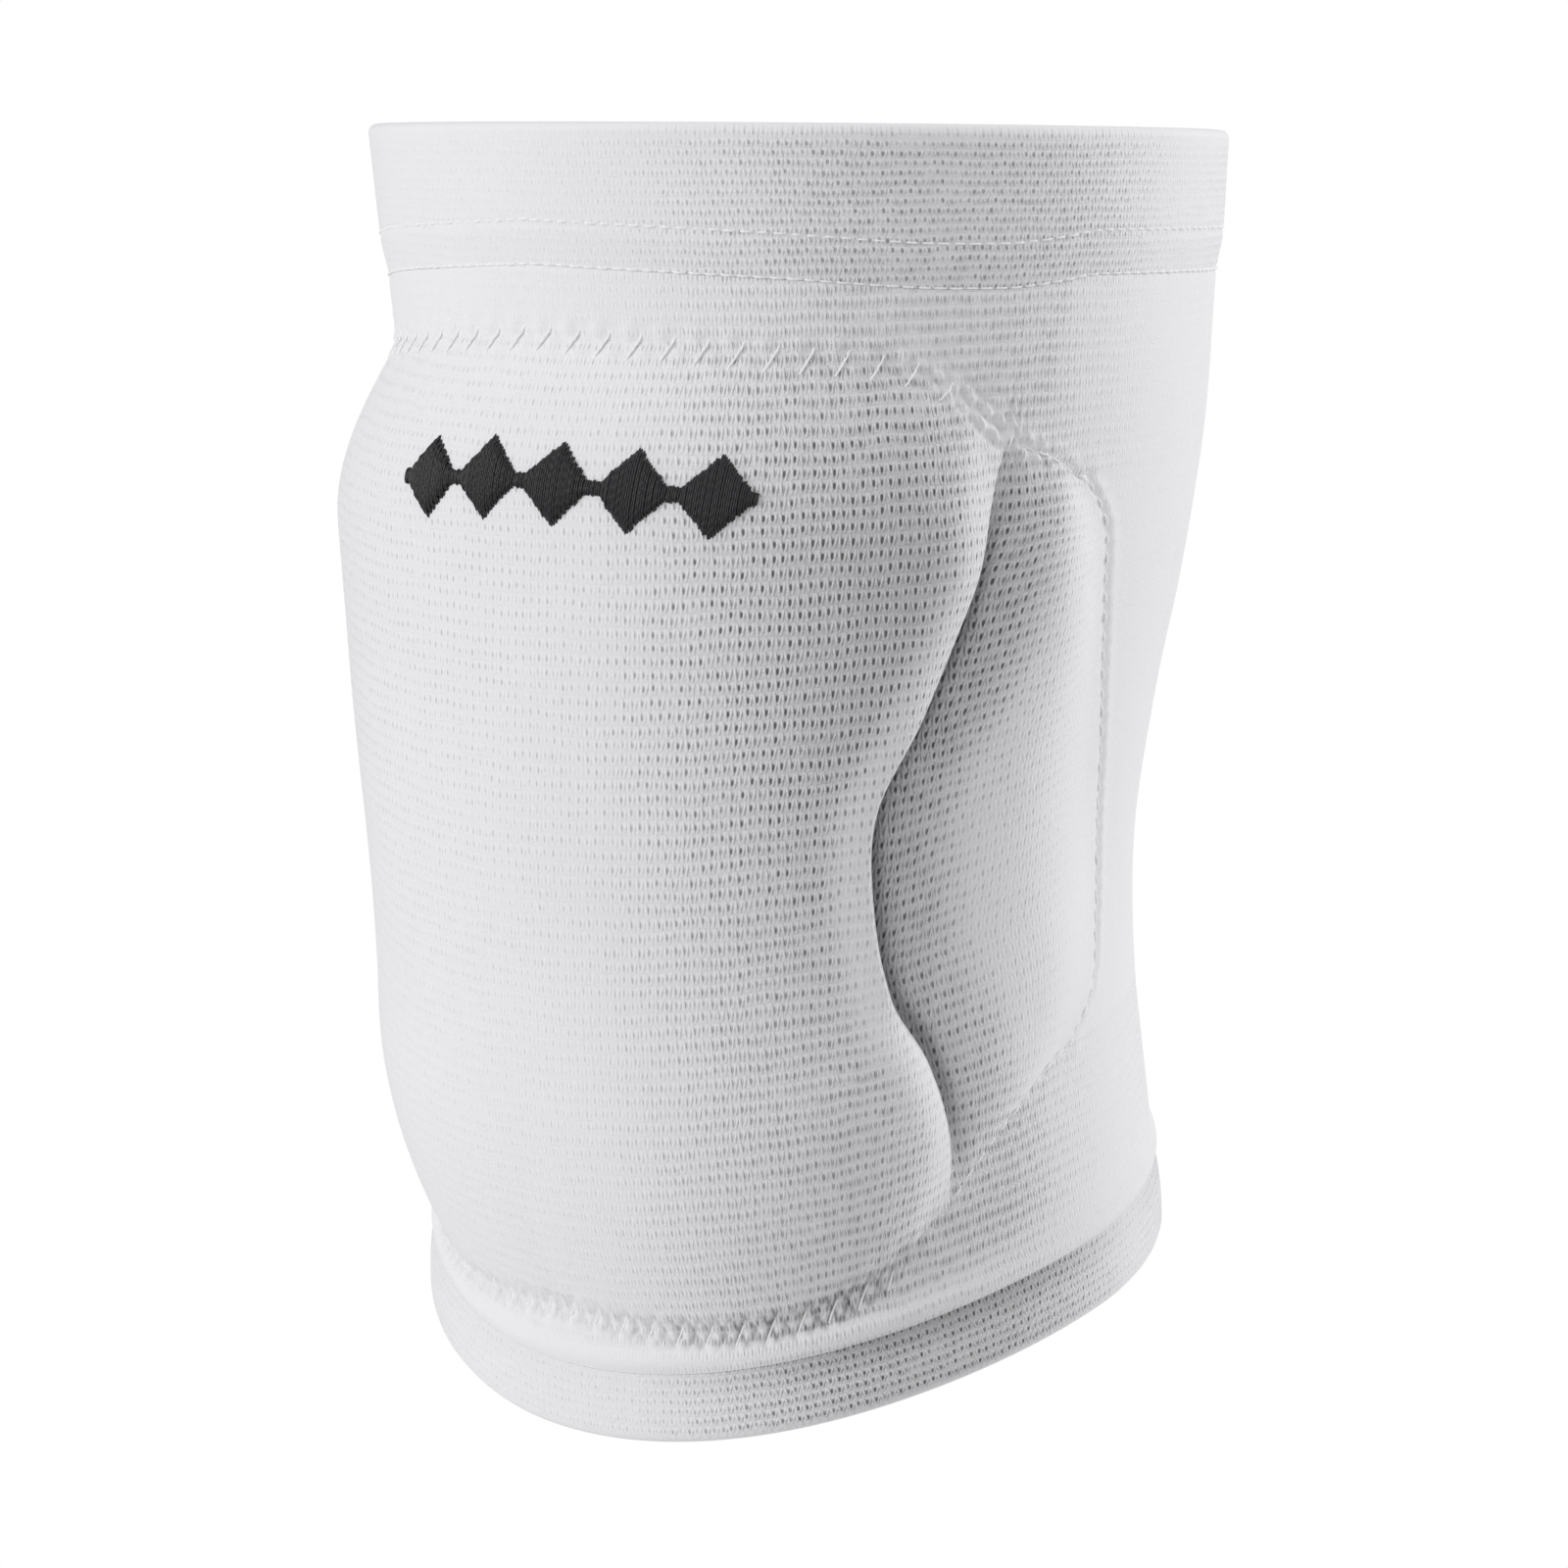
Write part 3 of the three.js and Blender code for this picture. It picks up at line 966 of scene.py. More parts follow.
@dataclass(frozen=True)
class ZigzagSeam:
    """A zigzag seam along one end of the main pad."""

    row: Row
    pitch: float = 5.0
    reach: float = 2.85
    turn_radius: float = 62.0
    steepness: float = 0.42
    valley: float = 0.25
    groove: float = 0.04
    groove_width: float = 0.34
    puff: float = 0.36
    puff_width: float = 1.15
    marks: float = 0.0
    mark_depth: float = 0.5
    proud: float = 0.1
    bow: float = 0.34
    end: float = 0.92
    cells: int = 2000
    seed: int = 3

    def turns(self, angle: Array) -> Array:
        """How many zigzags lie between the middle of the front and an angle."""
        return angle * self.turn_radius / self.pitch

    def relief(self, spot: Spot) -> Array:
        """Grooves under the thread, with the knit puffed up between them."""
        rise = spot.rise(self.row)
        here = fade(spot.side, 1.0, 0.9)
        turns = self.turns(spot.angle)
        from_thread = np.abs(rise - self.reach * zigzag(turns)) * self.steepness
        within = fade(np.abs(rise), self.reach + 0.8, self.reach - 0.6)
        groove = self.groove * hump(from_thread, self.groove_width) * within
        cell = np.rint(turns * 2)
        aside = (turns - cell / 2) * self.pitch
        middle = 0.42 * self.reach * np.where(cell % 2 == 0, 1.0, -1.0)
        puff = self.puff * hump(np.hypot(aside, (rise - middle) * 0.75), self.puff_width)
        valley = self.valley * hump(rise, self.reach)
        return here * (puff - groove - valley - self.mark_depth * self.crossings(spot))

    def crossings(self, spot: Spot) -> Array:
        """Uneven sunken places where the stitches cross, from 0 to 1, which the sleeve also
        darkens with painted shade.
        """
        rise, turns = spot.rise(self.row), self.turns(spot.angle)
        apart = np.abs(np.abs(rise) - self.reach * np.abs(zigzag(turns))) * 0.5
        within = fade(np.abs(rise), self.reach + 0.5, self.reach - 1.2)
        luck = np.random.default_rng(self.seed).uniform(0.35, 1, 2 * self.cells + 1)
        cell = np.clip(np.floor(turns * 2) + self.cells, 0, 2 * self.cells).astype(int)
        here = fade(spot.side, 0.9, 0.8)
        return self.marks * luck[cell] * hump(apart, 0.4) * within * here

    def path(self, leg: Leg, face: Face, thread: Thread) -> tuple[Array, Array]:
        """Lay the thread: rising legs lie on the knit, falling ones under it.

        Args:
            leg: The grid on the leg.
            face: The cloth's outside.
            thread: The thread.

        Returns:
            The thread's points and their normals.
        """
        up = self.row - Row.PAD_BOTTOM
        half = self.turns(self.end * leg.crease(up))
        turns = np.arange(-half, half, 1 / 24)
        share = turns * 2 - np.floor(turns * 2)
        rising = np.floor(turns * 2) % 2 == 0
        arch = np.sin(np.pi * np.clip(share / 0.78, 0, 1)) ** 0.5
        bow = self.bow * np.sin(np.pi * share) * np.where(rising, 1, -0.4)
        angle = (turns * self.pitch + bow) / self.turn_radius
        station = leg.stations_at(angle, up)
        row = leg.row_near(station, self.row, self.reach * zigzag(turns))
        lift = mix(-0.5, np.where(rising, thread.radius + self.proud, -0.35), arch)
        normals = normals_of(face, station, row)
        return face(station, row) + normals * lift[:, None], normals


@dataclass(frozen=True)
class RunningStitch:
    """A line of straight stitches that dip into the cloth between them."""

    pitch: float = 2.4
    arch_power: float = 0.42
    sink: float = 0.75
    proud: float = 0.16
    wobble: float = 0.1
    seed: int = 11

    def path(self, face: Face, station: Array, row: Array) -> tuple[Array, Array]:
        """Lay the thread along a line of the grid.

        Args:
            face: The cloth's outside.
            station: Stations of the line's points.
            row: Their rows.

        Returns:
            The thread's points and their normals.
        """
        index, length = even_steps(face(station, row), self.pitch / 12)
        count = np.arange(len(station))
        station, row = np.interp(index, count, station), np.interp(index, count, row)
        stitch = np.linspace(0, length / self.pitch, len(index))
        arch = np.abs(np.sin(np.pi * stitch)) ** self.arch_power
        luck = np.random.default_rng(self.seed).uniform(-1, 1, int(stitch[-1]) + 3)
        lift = mix(-self.sink, self.proud + self.wobble * luck[stitch.astype(int)], arch)
        normals = normals_of(face, station, row)
        return face(station, row) + normals * lift[:, None], normals


@dataclass(frozen=True)
class Sleeve(KnitWall):
    """The sleeve, stretched over the pads and sewn along their edges."""

    name: str = "knit_sleeve_cloth"
    node: str = "knit_sleeve"
    slot: str = "sleeve_knit"
    leg: Leg = field(default_factory=Leg)
    wall: float = SLEEVE_WALL
    wales: int = 322
    course_pitch: float = 1.95
    flat: tuple[float, float] = (0.33, 0.165)
    roll_proud: float = 0.7
    top_seam: ZigzagSeam = ZigzagSeam(Row.PAD_TOP)
    bottom_seam: ZigzagSeam = ZigzagSeam(Row.PAD_BOTTOM, marks=1.0, proud=-0.15, end=0.84)
    wing_groove: float = 0.34
    wing_puff: float = 0.3
    wing_stitch: float = 3.1
    crease_groove: float = 1.5
    # Painted shade in the crease and over the sunken stitch crossings.
    crease_shade: float = 0.55
    crossing_shade: float = 0.8
    tight_edge: float = 1.4
    soft_edge: float = 17.0
    wing_peak: float = 0.5
    wing_crown: float = 5.8
    wing_width: float = 32.0
    course_climb: float = 0.2
    knot_height: float = 1.0
    knot_width: float = 0.9
    pucker_height: float = 0.55
    pucker_reach: float = 6.5

    def rows(self) -> Loop:
        """Outer rows are close together along the seams."""
        seams = {Row.PAD_BOTTOM: 0.03, Row.PAD_TOP: 0.03}
        outer = np.concatenate(
            [
                np.linspace(Row.BAND, Row.ROLL, 11),
                np.linspace(Row.ROLL, Row.PAD_BOTTOM, 15)[1:],
                crowded(Row.PAD_BOTTOM, Row.PAD_TOP, 97, seams, 4)[1:],
                np.linspace(Row.PAD_TOP, Row.HEM, 27)[1:],
            ]
        )
        inner = crowded(Row.BAND, Row.HEM, 55, {Row.PAD_BOTTOM + 0.42: 0.32}, 3)
        return Loop.around(edged(outer), inner)

    def stations(self) -> Array:
        """Columns are close together on the main pad and by its creases."""
        wing = {Side.CREASE: 0.12, Side.WING_EDGE: 0.07}
        half = np.concatenate(
            [
                crowded(Side.FRONT, Side.CREASE, 136, {Side.CREASE: 0.05}, 2),
                crowded(Side.CREASE, Side.WING_EDGE, 56, wing, 2.5)[1:],
                crowded(Side.WING_EDGE, Side.BACK, 36, {Side.WING_EDGE: 0.03}, 6)[1:],
            ]
        )
        return np.concatenate([-half[:0:-1], half])

    def past_crease(self, spot: Spot) -> Array:
        """Millimetres outwards from the crease."""
        return (np.abs(spot.angle) - self.leg.crease(spot.up)) * self.leg.front

    def foam(self, spot: Spot) -> Array:
        """Foam's thickness as the cloth follows it: closely at the waist, loosely elsewhere."""
        slack = replace(self.leg, wing_peak=self.wing_peak, wing_crown=self.wing_crown)
        tight = replace(slack, pad_round=self.tight_edge)
        waist = fade(spot.up, 0.18, 0.34) * fade(spot.up, 0.78, 0.56)
        soft = replace(slack, pad_round=self.soft_edge)
        ends = fade(spot.up, 0.82, 0.98) + fade(spot.up, 0.12, 0.02)
        foam = mix(slack.foam(spot), soft.foam(spot), ends)
        return mix(foam, tight.foam(spot), waist)

    def wing_seam(self, spot: Spot) -> tuple[Array, Array]:
        """Distance from the wing's stitch line, and where the line fades.

        Args:
            spot: Places on the grid.

        Returns:
            Millimetres outwards from the line, and its strength.
        """
        beyond = (np.abs(spot.angle) - self.leg.wing_edge(spot.up)) * self.leg.half_width
        end = np.maximum(spot.rise(Row.PAD_TOP), -spot.rise(Row.PAD_BOTTOM))
        strength = mix(0.45, 1.0, fade(spot.up, 0.0, 0.25)) * fade(spot.side, 1.0, 1.2)
        return np.maximum(beyond, end), strength

    def knots(self, spot: Spot) -> Array:
        """Two rows of bunched stitches where the top seam rounds the pad's corners."""
        rise = spot.rise(Row.PAD_TOP)
        wave = np.cos(4 * np.pi * self.top_seam.turns(spot.angle))
        upper = hump(rise - 1.2, self.knot_width) * (1 + wave)
        lower = hump(rise + 0.9, self.knot_width) * (1 - wave)
        return 0.5 * self.knot_height * self.at_corner(spot) * (upper + lower)

    def at_corner(self, spot: Spot) -> Array:
        """How near the pad's corner a place is, from 0 to 1."""
        return fade(spot.side, 0.7, 0.88) * fade(spot.side, 1.75, 1.2)

    def relief(self, spot: Spot) -> Array:
        """The roll, the seams, the puckers and slow waves of the cloth."""
        roll = self.roll_proud * np.sin(np.pi * np.clip(spot.row - Row.BAND, 0, 1))
        outward, strength = self.wing_seam(spot)
        run = spot.rise(Row.PAD_BOTTOM) + spot.side * 30
        dash = 0.55 + 0.45 * np.cos(2 * np.pi * run / self.wing_stitch)
        groove = self.wing_groove * hump(outward, 0.75) * dash
        puff = self.wing_puff * hump(outward - 1.6, 1.1) * (1.5 - dash)
        past = self.past_crease(spot)
        on_pad = fade(spot.up, 0.0, 0.12) * fade(spot.up, 1.0, 0.84)
        fold = self.crease_groove * hump(past - 1.4, 1.9) * on_pad * fade(past, -0.4, 0.3)
        aside, rise = (spot.side - Side.CREASE) * self.wing_width, spot.rise(Row.PAD_TOP)
        lumps = np.sin(1.9 * aside + 0.9 * rise) * np.cos(1.6 * rise - 0.6 * aside)
        pucker = self.pucker_height * lumps * hump(np.hypot(aside, rise), self.pucker_reach)
        calm = fade(spot.row, Row.ROLL, Row.ROLL + 0.5)
        waves = WAVE_HEIGHT * unevenness(spot) * calm
        seams = self.top_seam.relief(spot) + self.bottom_seam.relief(spot)
        seams = seams - LINE_GROOVE * hump(spot.rise(Row.HEM) - HEM_LINES[0], LINE_WIDTH)
        seams = seams + self.knots(spot) + strength * (puff - groove)
        return roll + seams + pucker + waves - fold

    def lean(self, spot: Spot) -> Array:
        """Courses climb outwards across the wing."""
        on_pad = fade(spot.up, 0.0, 0.3) * fade(spot.up, 1.0, 0.8)
        return self.course_climb * np.clip(self.past_crease(spot), 0, 34) * on_pad

    def tone(self, spot: Spot) -> tuple[Array, Array]:
        """Stitches are faint where the cloth is stretched round an edge. The second number sets
        the painted shade in their eyes, which is deepest by the crease.
        """
        past, up = self.past_crease(spot), spot.up
        on_pad = (spot.row > Row.PAD_BOTTOM) & (spot.row < Row.PAD_TOP)
        edge = 1.15 - 0.75 * fade(past, -9.5, -4)
        valley = mix(1.1, 0.3, fade(past, 6, 17))
        above = fade(spot.rise(Row.PAD_TOP), -2, 4)
        tone = np.where(on_pad, np.where(past < 0, edge, valley), mix(0.8, 0.6, above))
        roll = fade(spot.row, Row.ROLL + 0.3, Row.ROLL)
        tone = tone * (1 - 0.6 * roll) * mix(1.0, 0.5, fade(spot.side, 1.4, 1.9))
        tone = tone * (1 - 0.75 * hump(spot.rise(Row.PAD_TOP), 3.4) * self.at_corner(spot))
        tone = tone * np.where(on_pad, mix(0.75, 1.1, fade(up, 0.2, 0.7)), 1.0)
        on_wing = fade(past, 0, 3)
        # Painted shade in the eyes, set by place on the pad.
        eye_shade_share = mix(mix(0.6, 1.3, on_wing), 1.7, fade(up, 0.2, 0.75) * fade(up, 1.0, 0.8))
        eye_shade_share = eye_shade_share * mix(1.0, 0.62, on_wing)
        return tone, tone * np.where(on_pad, eye_shade_share, mix(0.6, 0.3, above))

    def painted_shade(self, spot: Spot) -> Array:
        """Painted shade down in the creases and where the stitches cross and sink."""
        past = self.past_crease(spot)
        on_pad = fade(spot.up, 0.0, 0.16) * fade(spot.up, 0.98, 0.76)
        # Painted shade: the crease and the stitch crossings are darkened in the cloth's colour.
        crease = self.crease_shade * fade(past, -1.6, 0.0) * fade(past, 3.6, 1.6) * on_pad
        return crease + self.crossing_shade * self.bottom_seam.crossings(spot) * self.relief_and_side_shade(spot)

    def sew(self, finish: bpy.types.Material) -> list[bpy.types.Object]:
        """Sew the zigzag seams and the wings' stitch lines.

        Args:
            finish: The thread's material.

        Returns:
            The threads.
        """
        thread = Thread()
        across = np.linspace(Side.CREASE + 0.02, Side.WING_EDGE - 0.03, 60)
        edge, end = np.full(300, float(Side.WING_EDGE)), np.ones_like(across)
        station = np.concatenate([across, edge, across[::-1]])
        climb = np.linspace(Row.PAD_BOTTOM, Row.PAD_TOP, 300)
        row = np.concatenate([Row.PAD_BOTTOM * end, climb, Row.PAD_TOP * end])
        line = RunningStitch(pitch=self.wing_stitch, proud=0.1, sink=0.8)
        paths = {
            "top_zigzag": self.top_seam.path(self.leg, self.outside, thread),
            "bottom_zigzag": self.bottom_seam.path(self.leg, self.outside, thread),
            "wing_stitches_left": line.path(self.outside, -station, row),
            "wing_stitches_right": line.path(self.outside, station, row),
        }
        return [
            add_piece(name, thread.mesh(name, *path), finish)
            for name, path in paths.items()
        ]


@dataclass(frozen=True)
class Hem(KnitWall):
    """The hem: knit folded over at the top rim and sewn down in two lines."""

    name: str = "top_hem_cloth"
    node: str = "top_hem"
    slot: str = "band_knit"
    leg: Leg = field(default_factory=Leg)
    wall: float = 2.6
    wales: int = 300
    course_pitch: float = 1.45
    columns: int = 560
    up_the_pad: float = 1.0
    flat: tuple[float, float] = (0.37, 0.023)
    joint: float = 0.015
    rim_wave: float = 0.12

    def rows(self) -> Loop:
        """Outer rows are close together along the two stitch lines."""
        outer = crowded(Row.HEM, Row.TOP, 52, {Row.HEM: 0.05, Row.HEM + 0.3: 0.06}, 3)
        return Loop.around(edged(outer), np.linspace(Row.HEM, Row.TOP, 13), top_round=True)

    def relief(self, spot: Spot) -> Array:
        """The fold thins down to the sleeve, and the stitch lines sink in."""
        rise = spot.rise(Row.HEM)
        step = (SLEEVE_WALL - self.wall) * fade(rise, 6.0, 0.0)
        lines = sum(hump(rise - line, LINE_WIDTH) for line in HEM_LINES)
        rim = self.rim_wave * np.sin(11 * spot.angle + 0.7) * fade(rise, 8, 20)
        waves = WAVE_HEIGHT * unevenness(spot) * mix(1.0, 0.8, fade(rise, 0, 4))
        return step - LINE_GROOVE * lines + rim + waves

    def tone(self, spot: Spot) -> tuple[Array, Array]:
        """Stitches are softer over the fold at the rim."""
        tone = 1 - 0.6 * fade(-spot.rise(Row.TOP), 2.5, 0.0)
        return tone, tone

    def sew(self, finish: bpy.types.Material) -> list[bpy.types.Object]:
        """Sew the hem's two stitch lines.

        Args:
            finish: The thread's material.

        Returns:
            The threads.
        """
        threads = []
        station = self.leg.stations_at(np.linspace(-np.pi, np.pi, 2400), 1.0)
        names = ("hem_stitches_lower", "hem_stitches_upper")
        for name, height, seed in zip(names, HEM_LINES, (20, 21)):
            row = self.leg.row_near(station, Row.HEM, np.full_like(station, height))
            line = RunningStitch(seed=seed)
            mesh = Thread(radius=0.17).mesh(name, *line.path(self.outside, station, row))
            threads.append(add_piece(name, mesh, finish))
        return threads


@dataclass(frozen=True)
class Band(KnitWall):
    """The elastic band round the calf."""

    name: str = "bottom_band_cloth"
    node: str = "bottom_band"
    slot: str = "band_knit"
    leg: Leg = field(default_factory=Leg)
    wall: float = 2.2
    wales: int = 290
    course_pitch: float = 1.6
    flat: tuple[float, float] = (0.3, 0.02)
    joint: float = 0.015
    roll_shade: float = 0.24

    def rows(self) -> Loop:
        """Even rows, with a rounded bottom edge."""
        outer, inner = np.linspace(Row.RIM, Row.BAND, 19), np.linspace(Row.RIM, Row.BAND, 7)
        return Loop.around(edged(outer), inner, bottom_round=True)

    def relief(self, spot: Spot) -> Array:
        """The band swells between its edges and is flush with the roll's foot."""
        share = np.clip(spot.row - Row.RIM, 0, 1)
        apart = fade(share, 1.0, 0.7)
        flush = (SLEEVE_WALL - self.wall) * (1 - apart)
        return flush + 0.25 * np.sin(np.pi * share) + 0.1 * unevenness(spot) * apart

    def painted_shade(self, spot: Spot) -> Array:
        """Painted shade on the band where it goes in under the roll, deepest on the knee's outer
        side.
        """
        return self.roll_shade * fade(spot.row, 0.45, 1.0) * self.relief_and_side_shade(spot)


# Foam


@dataclass(frozen=True)
class FoamPad:
    """A foam pad that lies on the leg and comes to an edge all round."""

    name: str
    node: str
    leg: Leg
    first: float
    last: float
    columns: int
    fill: float = 0.85
    wales: int = 276
    courses: int = 86

    def build(self, finish: bpy.types.Material) -> bpy.types.Object:
        """Model the pad in place of its node.

        Args:
            finish: The lining's material.

        Returns:
            The pad.
        """
        ends = {self.first: 0.08, self.last: 0.08}
        across = crowded(self.first, self.last, self.columns, ends, 2)
        station = np.concatenate([across, across[-2:0:-1], across[:1]])
        outside = np.concatenate([np.ones(len(across)), np.zeros(len(across) - 2), [1.0]])
        edge = (station == self.first) | (station == self.last)
        share = np.where(edge, 0.5, outside)
        tips = {Row.PAD_BOTTOM: 0.05, Row.PAD_TOP: 0.05}
        rows = crowded(Row.PAD_BOTTOM, Row.PAD_TOP, 96, tips, 2)
        spot = self.leg.spot(station[None, :], rows[:, None])
        thick = np.where(edge, self.leg.foam(spot), self.leg.foam(spot, self.leg.gap))
        points = self.leg.point(spot, share * thick)
        wale = spot.angle / (2 * np.pi) * self.wales
        maps = {
            "weave": np.stack([wale, spot.level * self.courses], axis=-1),
            "tone": np.ones((*wale.shape, 2)),
            "fold": np.zeros((*wale.shape, 2)),
        }
        pad = add_piece(self.name, grid_mesh(self.name, points, maps), finish)
        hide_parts(self.node)
        return pad


def foam_pads(leg: Leg) -> list[FoamPad]:
    """The pad over the kneecap and the two crescent pads beside it."""
    edge = Side.CREASE - leg.gap / (leg.crease(0.5) * leg.front)
    width = (leg.wing_edge(0.5) - leg.crease(0.5)) * leg.half_width
    inner = Side.CREASE + leg.gap / width
    return [
        FoamPad("main_pad_foam", "main_pad", leg, -edge, edge, 90),
        FoamPad("wing_pad_left_foam", "wing_pad_left", leg, -Side.WING_EDGE, -inner, 36),
        FoamPad("wing_pad_right_foam", "wing_pad_right", leg, inner, Side.WING_EDGE, 36),
    ]


# Embroidery


@dataclass(frozen=True)
class Motif:
    """A row of diamonds in satin stitch, joined at their points."""

    leg: Leg
    face: Face
    slot: str = "embroidery_thread"
    length: float = 54
    height: float = 14
    neck: float = 2.4
    diamonds: int = 5
    station: float = 0.13
    up_the_pad: float = 0.86
    pad_height: float = 156.4
    stitch_pitch: float = 0.3
    raised: float = 0.55
    slant: float = 0.7
    ragged: float = 0.28
    seed: int = 5

    def half_height(self, at: Array) -> Array:
        """Half the motif's height at a share of its length."""
        in_diamond = np.abs((at * self.diamonds) % 1 - 0.5) * 2
        return np.maximum(self.height * (1 - in_diamond), self.neck) / 2

    def grid(self, along: Array, up: Array) -> tuple[Array, Array]:
        """Stations and rows of places on the motif.

        Args:
            along: Millimetres to the right of the motif's middle.
            up: Millimetres above its middle.

        Returns:
            The stations and the rows.
        """
        per_station = self.leg.crease(self.up_the_pad) * self.leg.front
        row = Row.PAD_BOTTOM + self.up_the_pad + up / self.pad_height
        return self.station + along / per_station, row

    def lay(self, along: Array, up: Array, lift: Array) -> tuple[Array, Array]:
        """Points above the knit, and the normals there."""
        station, row = self.grid(along, up)
        normals = normals_of(self.face, station, row)
        return self.face(station, row) + normals * np.asarray(lift)[..., None], normals

    def build(self, finish: bpy.types.Material) -> list[bpy.types.Object]:
        """Sew the ground stitches and the satin stitches over them.

        Args:
            finish: The black thread's material.

        Returns:
            The ground and the satin.
        """
        return [self.ground(finish), self.satin(finish)]

    def ground(self, finish: bpy.types.Material) -> bpy.types.Object:
        """A flat bed of thread under the satin, in place of the node."""
        at = np.linspace(0, 1, self.diamonds * 24 + 1)
        half = self.half_height(at) - 0.25
        half[[0, -1]] = 0
        up = np.array([-1, -0.5, 0, 0.5, 1, 0.5, 0, -0.5, -1])[:, None] * half
        lift = np.array([-0.1, 0.25, 0.35, 0.25, -0.1, -0.3, -0.3, -0.3, -0.1])[:, None] + 0 * up
        along = (at - 0.5) * self.length + 0 * up
        points, _ = self.lay(along, up, lift)
        points[:, 0] = points[:, :1].mean(axis=0)
        points[:, -1] = points[:, -1:].mean(axis=0)
        maps = {"twist": np.stack([along * 3, up], axis=-1)}
        mesh = grid_mesh("motif_ground", points, maps)
        bed = add_piece("motif_ground", mesh, finish)
        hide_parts("motif")
        return bed

    def satin(self, finish: bpy.types.Material) -> bpy.types.Object:
        """One thread that goes back and forth over the diamonds."""
        passes = round(self.length / self.stitch_pitch)
        luck = np.random.default_rng(self.seed)
        share = np.linspace(-1, 1, 9)
        at = (np.arange(passes) + 0.5) / passes
        half = self.half_height(at)[:, None]
        reach = half + luck.uniform(-self.ragged, self.ragged, (passes, 1))
        up = share * reach
        up[1::2] = -up[1::2]
        along = (at[:, None] - 0.5) * self.length + self.slant * up / self.height
        along = along + luck.uniform(-0.05, 0.05, (passes, 1))
        dome = np.sqrt(1 - np.abs(share) ** 3)
        height = 0.2 + self.raised * np.clip(half / 3.5, 0.25, 1)
        lift = mix(-0.35, height, dome)
        points, normals = self.lay(along.ravel(), up.ravel(), lift.ravel())
        mesh = Thread(radius=0.2, twist_pitch=1.3).mesh("motif_satin", points, normals)
        return add_piece("motif_satin", mesh, finish)


# Studio


def bearing(azimuth: float, elevation: float = 0.0) -> Vector:
    """A unit vector towards a place round the knee, with the front at no degrees."""
    turn, tilt = math.radians(azimuth), math.radians(elevation)
    level = Vector((math.sin(turn), -math.cos(turn), 0)) * math.cos(tilt)
    return level + Vector((0, 0, math.sin(tilt)))


def aim(thing: bpy.types.Object, place: Vector) -> None:
    """Turn a light or a camera towards a place."""
    thing.rotation_euler = (place - thing.location).to_track_quat("-Z", "Y").to_euler()


@dataclass(frozen=True)
class Softbox:
    """A large soft light that faces the knee pad."""

    name: str
    azimuth: float
    elevation: float
    distance: float
    width: float
    height: float
    watts: float

    def place(self) -> None:
        """Add the light."""
        light = bpy.data.lights.new(self.name, "AREA")
        light.shape = "RECTANGLE"
        light.size, light.size_y = self.width, self.height
        light.energy = self.watts
        lamp = add_object(self.name, light)
        lamp.location = self.distance * bearing(self.azimuth, self.elevation)
        aim(lamp, Vector())


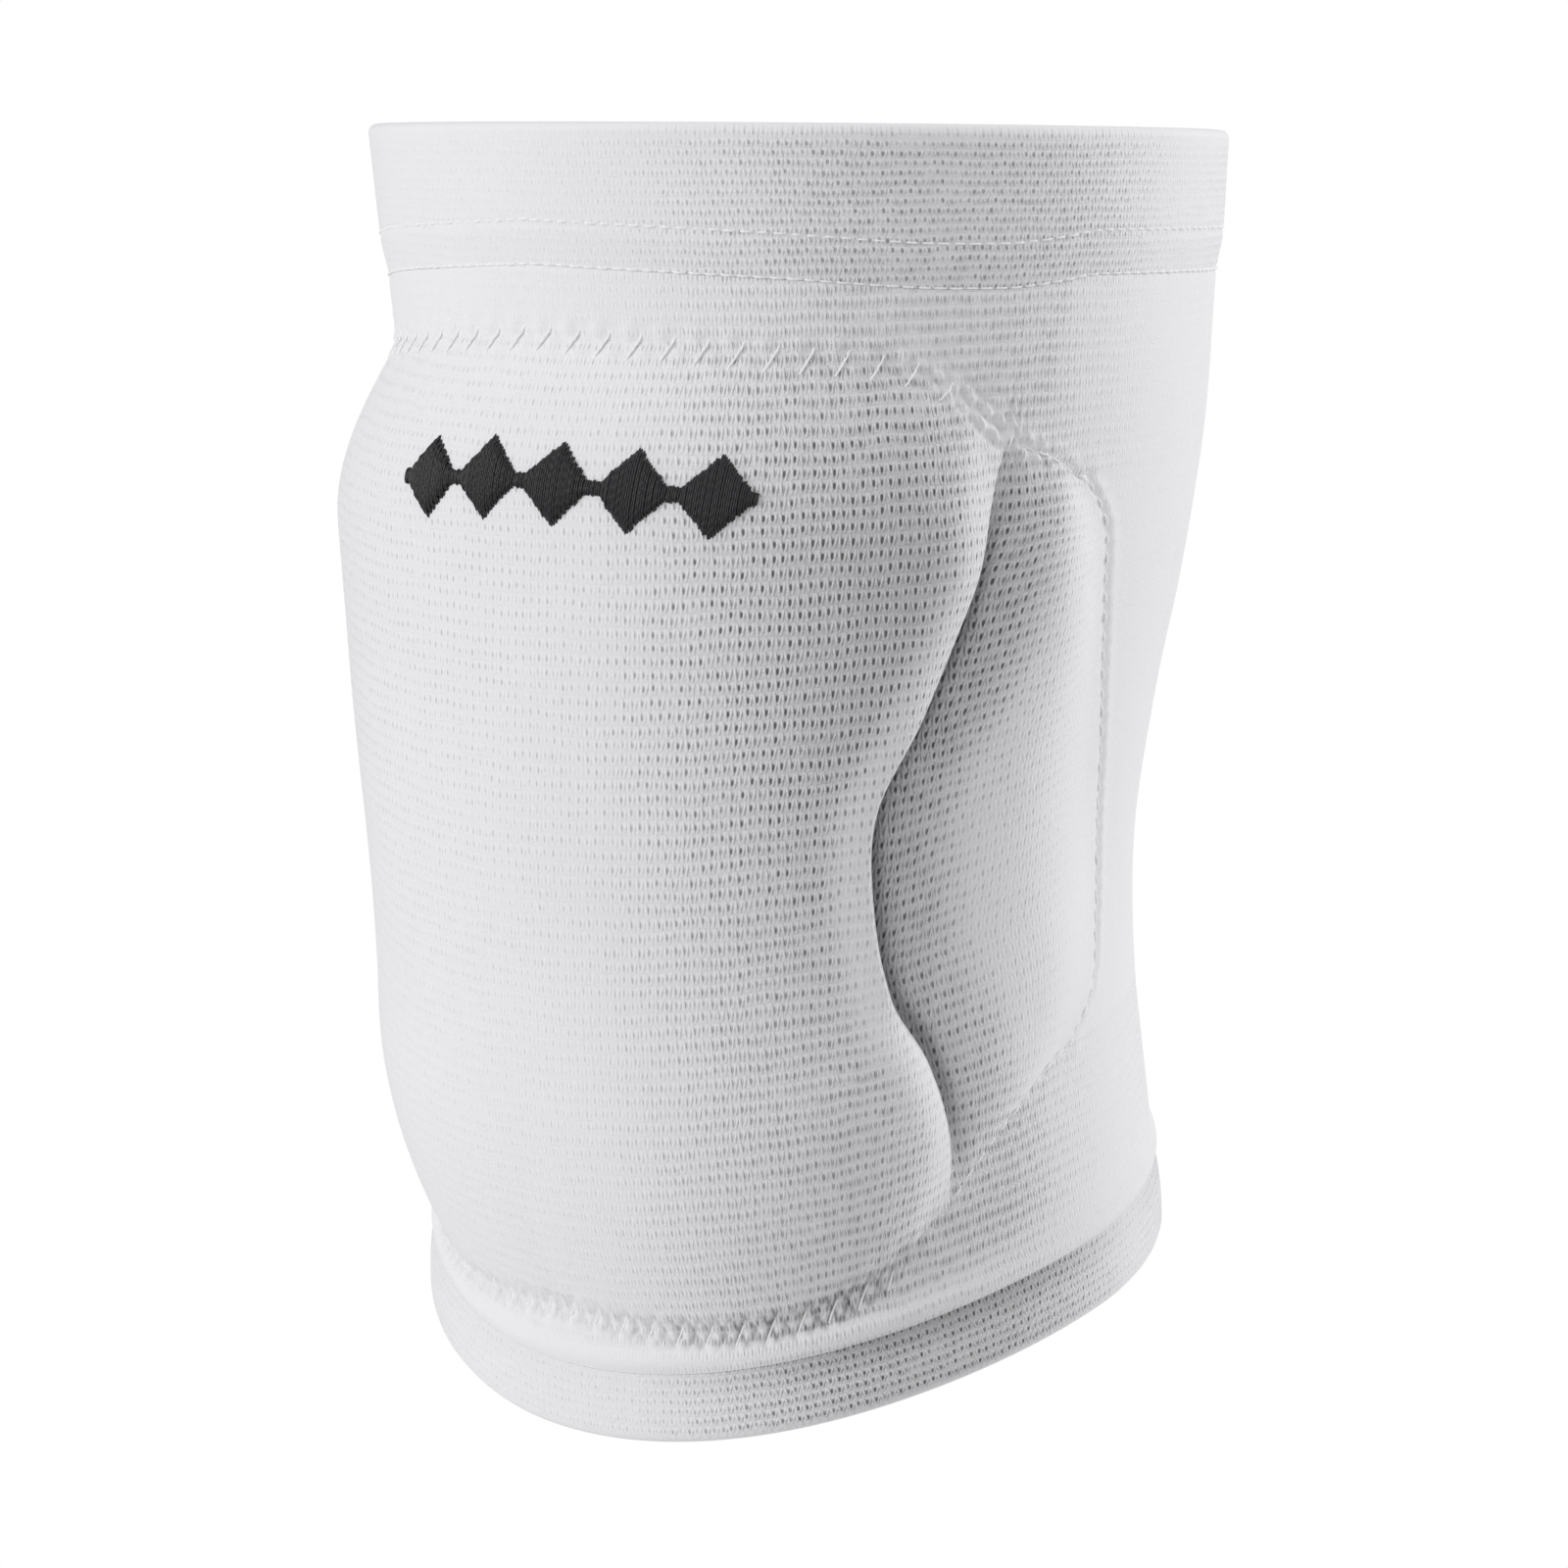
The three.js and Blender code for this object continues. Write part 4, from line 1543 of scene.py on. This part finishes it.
@dataclass(frozen=True)
class Studio:
    """A white studio, and the camera of the photograph."""

    azimuth: float = 38.0
    distance: float = 0.8
    eye_height: float = 0.104
    look_height: float = 0.002
    look_left: float = 0.0023
    lens: float = 117.07
    ambient: float = 0.47
    backdrop: float = 1.0
    floor_height: float = -0.34
    floor_radius: float = 0.55

    def build(self) -> None:
        """Set the lights, the camera, the floor and the surroundings."""
        for light in (
            Softbox("left_softbox", -28, 14, 1.4, 0.8, 1.2, 10.0),
            Softbox("right_softbox", 144, 12, 1.4, 0.8, 1.2, 9.4),
            Softbox("top_softbox", 75, 50, 0.45, 0.4, 0.4, 0.36),
        ):
            light.place()
        self.place_camera()
        self.lay_floor()
        self.surround()

    def place_camera(self) -> None:
        """Set the camera where the photograph was taken from."""
        data = bpy.data.cameras.new("camera")
        data.sensor_width = 36
        data.lens = self.lens
        camera = add_object("camera", data)
        camera.location = bearing(self.azimuth) * self.distance
        camera.location.z = self.eye_height
        left = bearing(self.azimuth - 90) * self.look_left
        aim(camera, left + Vector((0, 0, self.look_height)))
        bpy.context.scene.camera = camera

    def lay_floor(self) -> None:
        """Lay a pale round floor below the camera's view."""
        bm = bmesh.new()
        bmesh.ops.create_circle(bm, cap_ends=True, segments=96, radius=self.floor_radius)
        bmesh.ops.translate(bm, verts=bm.verts, vec=(0, 0, self.floor_height))
        mesh = bpy.data.meshes.new("floor")
        bm.to_mesh(mesh)
        bm.free()
        maker = MaterialMaker("floor_paint", 0.8, (0.86, 0.86, 0.86))
        maker.paint(maker.cloud(6, 3.0) * 0.2, (0.88, 0.88, 0.88), (0.8, 0.8, 0.8))
        mesh.materials.append(maker.material)
        add_object("floor", mesh)

    def surround(self) -> None:
        """Light the scene evenly from all round, before a white backdrop."""
        scene = bpy.context.scene
        scene.world = bpy.data.worlds.new("studio")
        scene.world.use_nodes = True
        nodes, links = scene.world.node_tree.nodes, scene.world.node_tree.links
        nodes.clear()
        ray, choice = nodes.new("ShaderNodeLightPath"), nodes.new("ShaderNodeMixShader")
        links.new(ray.outputs["Is Camera Ray"], choice.inputs[0])
        for place, strength in enumerate((self.ambient, self.backdrop), start=1):
            light = nodes.new("ShaderNodeBackground")
            light.inputs["Strength"].default_value = strength
            light.inputs["Color"].default_value = (1, 1, 1, 1)
            links.new(light.outputs[0], choice.inputs[place])
        output = nodes.new("ShaderNodeOutputWorld")
        links.new(choice.outputs[0], output.inputs["Surface"])
        scene.view_settings.view_transform = "Standard"
        scene.view_settings.look = "None"


def main() -> None:
    """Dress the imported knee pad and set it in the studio."""
    logging.basicConfig(level=logging.INFO, format="%(message)s")
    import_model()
    finishes = Finishes.make()
    leg = Leg()

    sleeve, hem, band = Sleeve(leg=leg), Hem(leg=leg), Band(leg=leg)
    for wall, knit in ((sleeve, finishes.sleeve), (hem, finishes.hem), (band, finishes.band)):
        cloth = wall.build(knit)
        seams = wall.sew(finishes.white_thread)
    for pad in foam_pads(leg):
        pad.build(finishes.lining)
    Motif(leg, sleeve.outside).build(finishes.black_thread)

    Studio().build()
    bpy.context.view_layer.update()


if __name__ == "__main__":
    main()
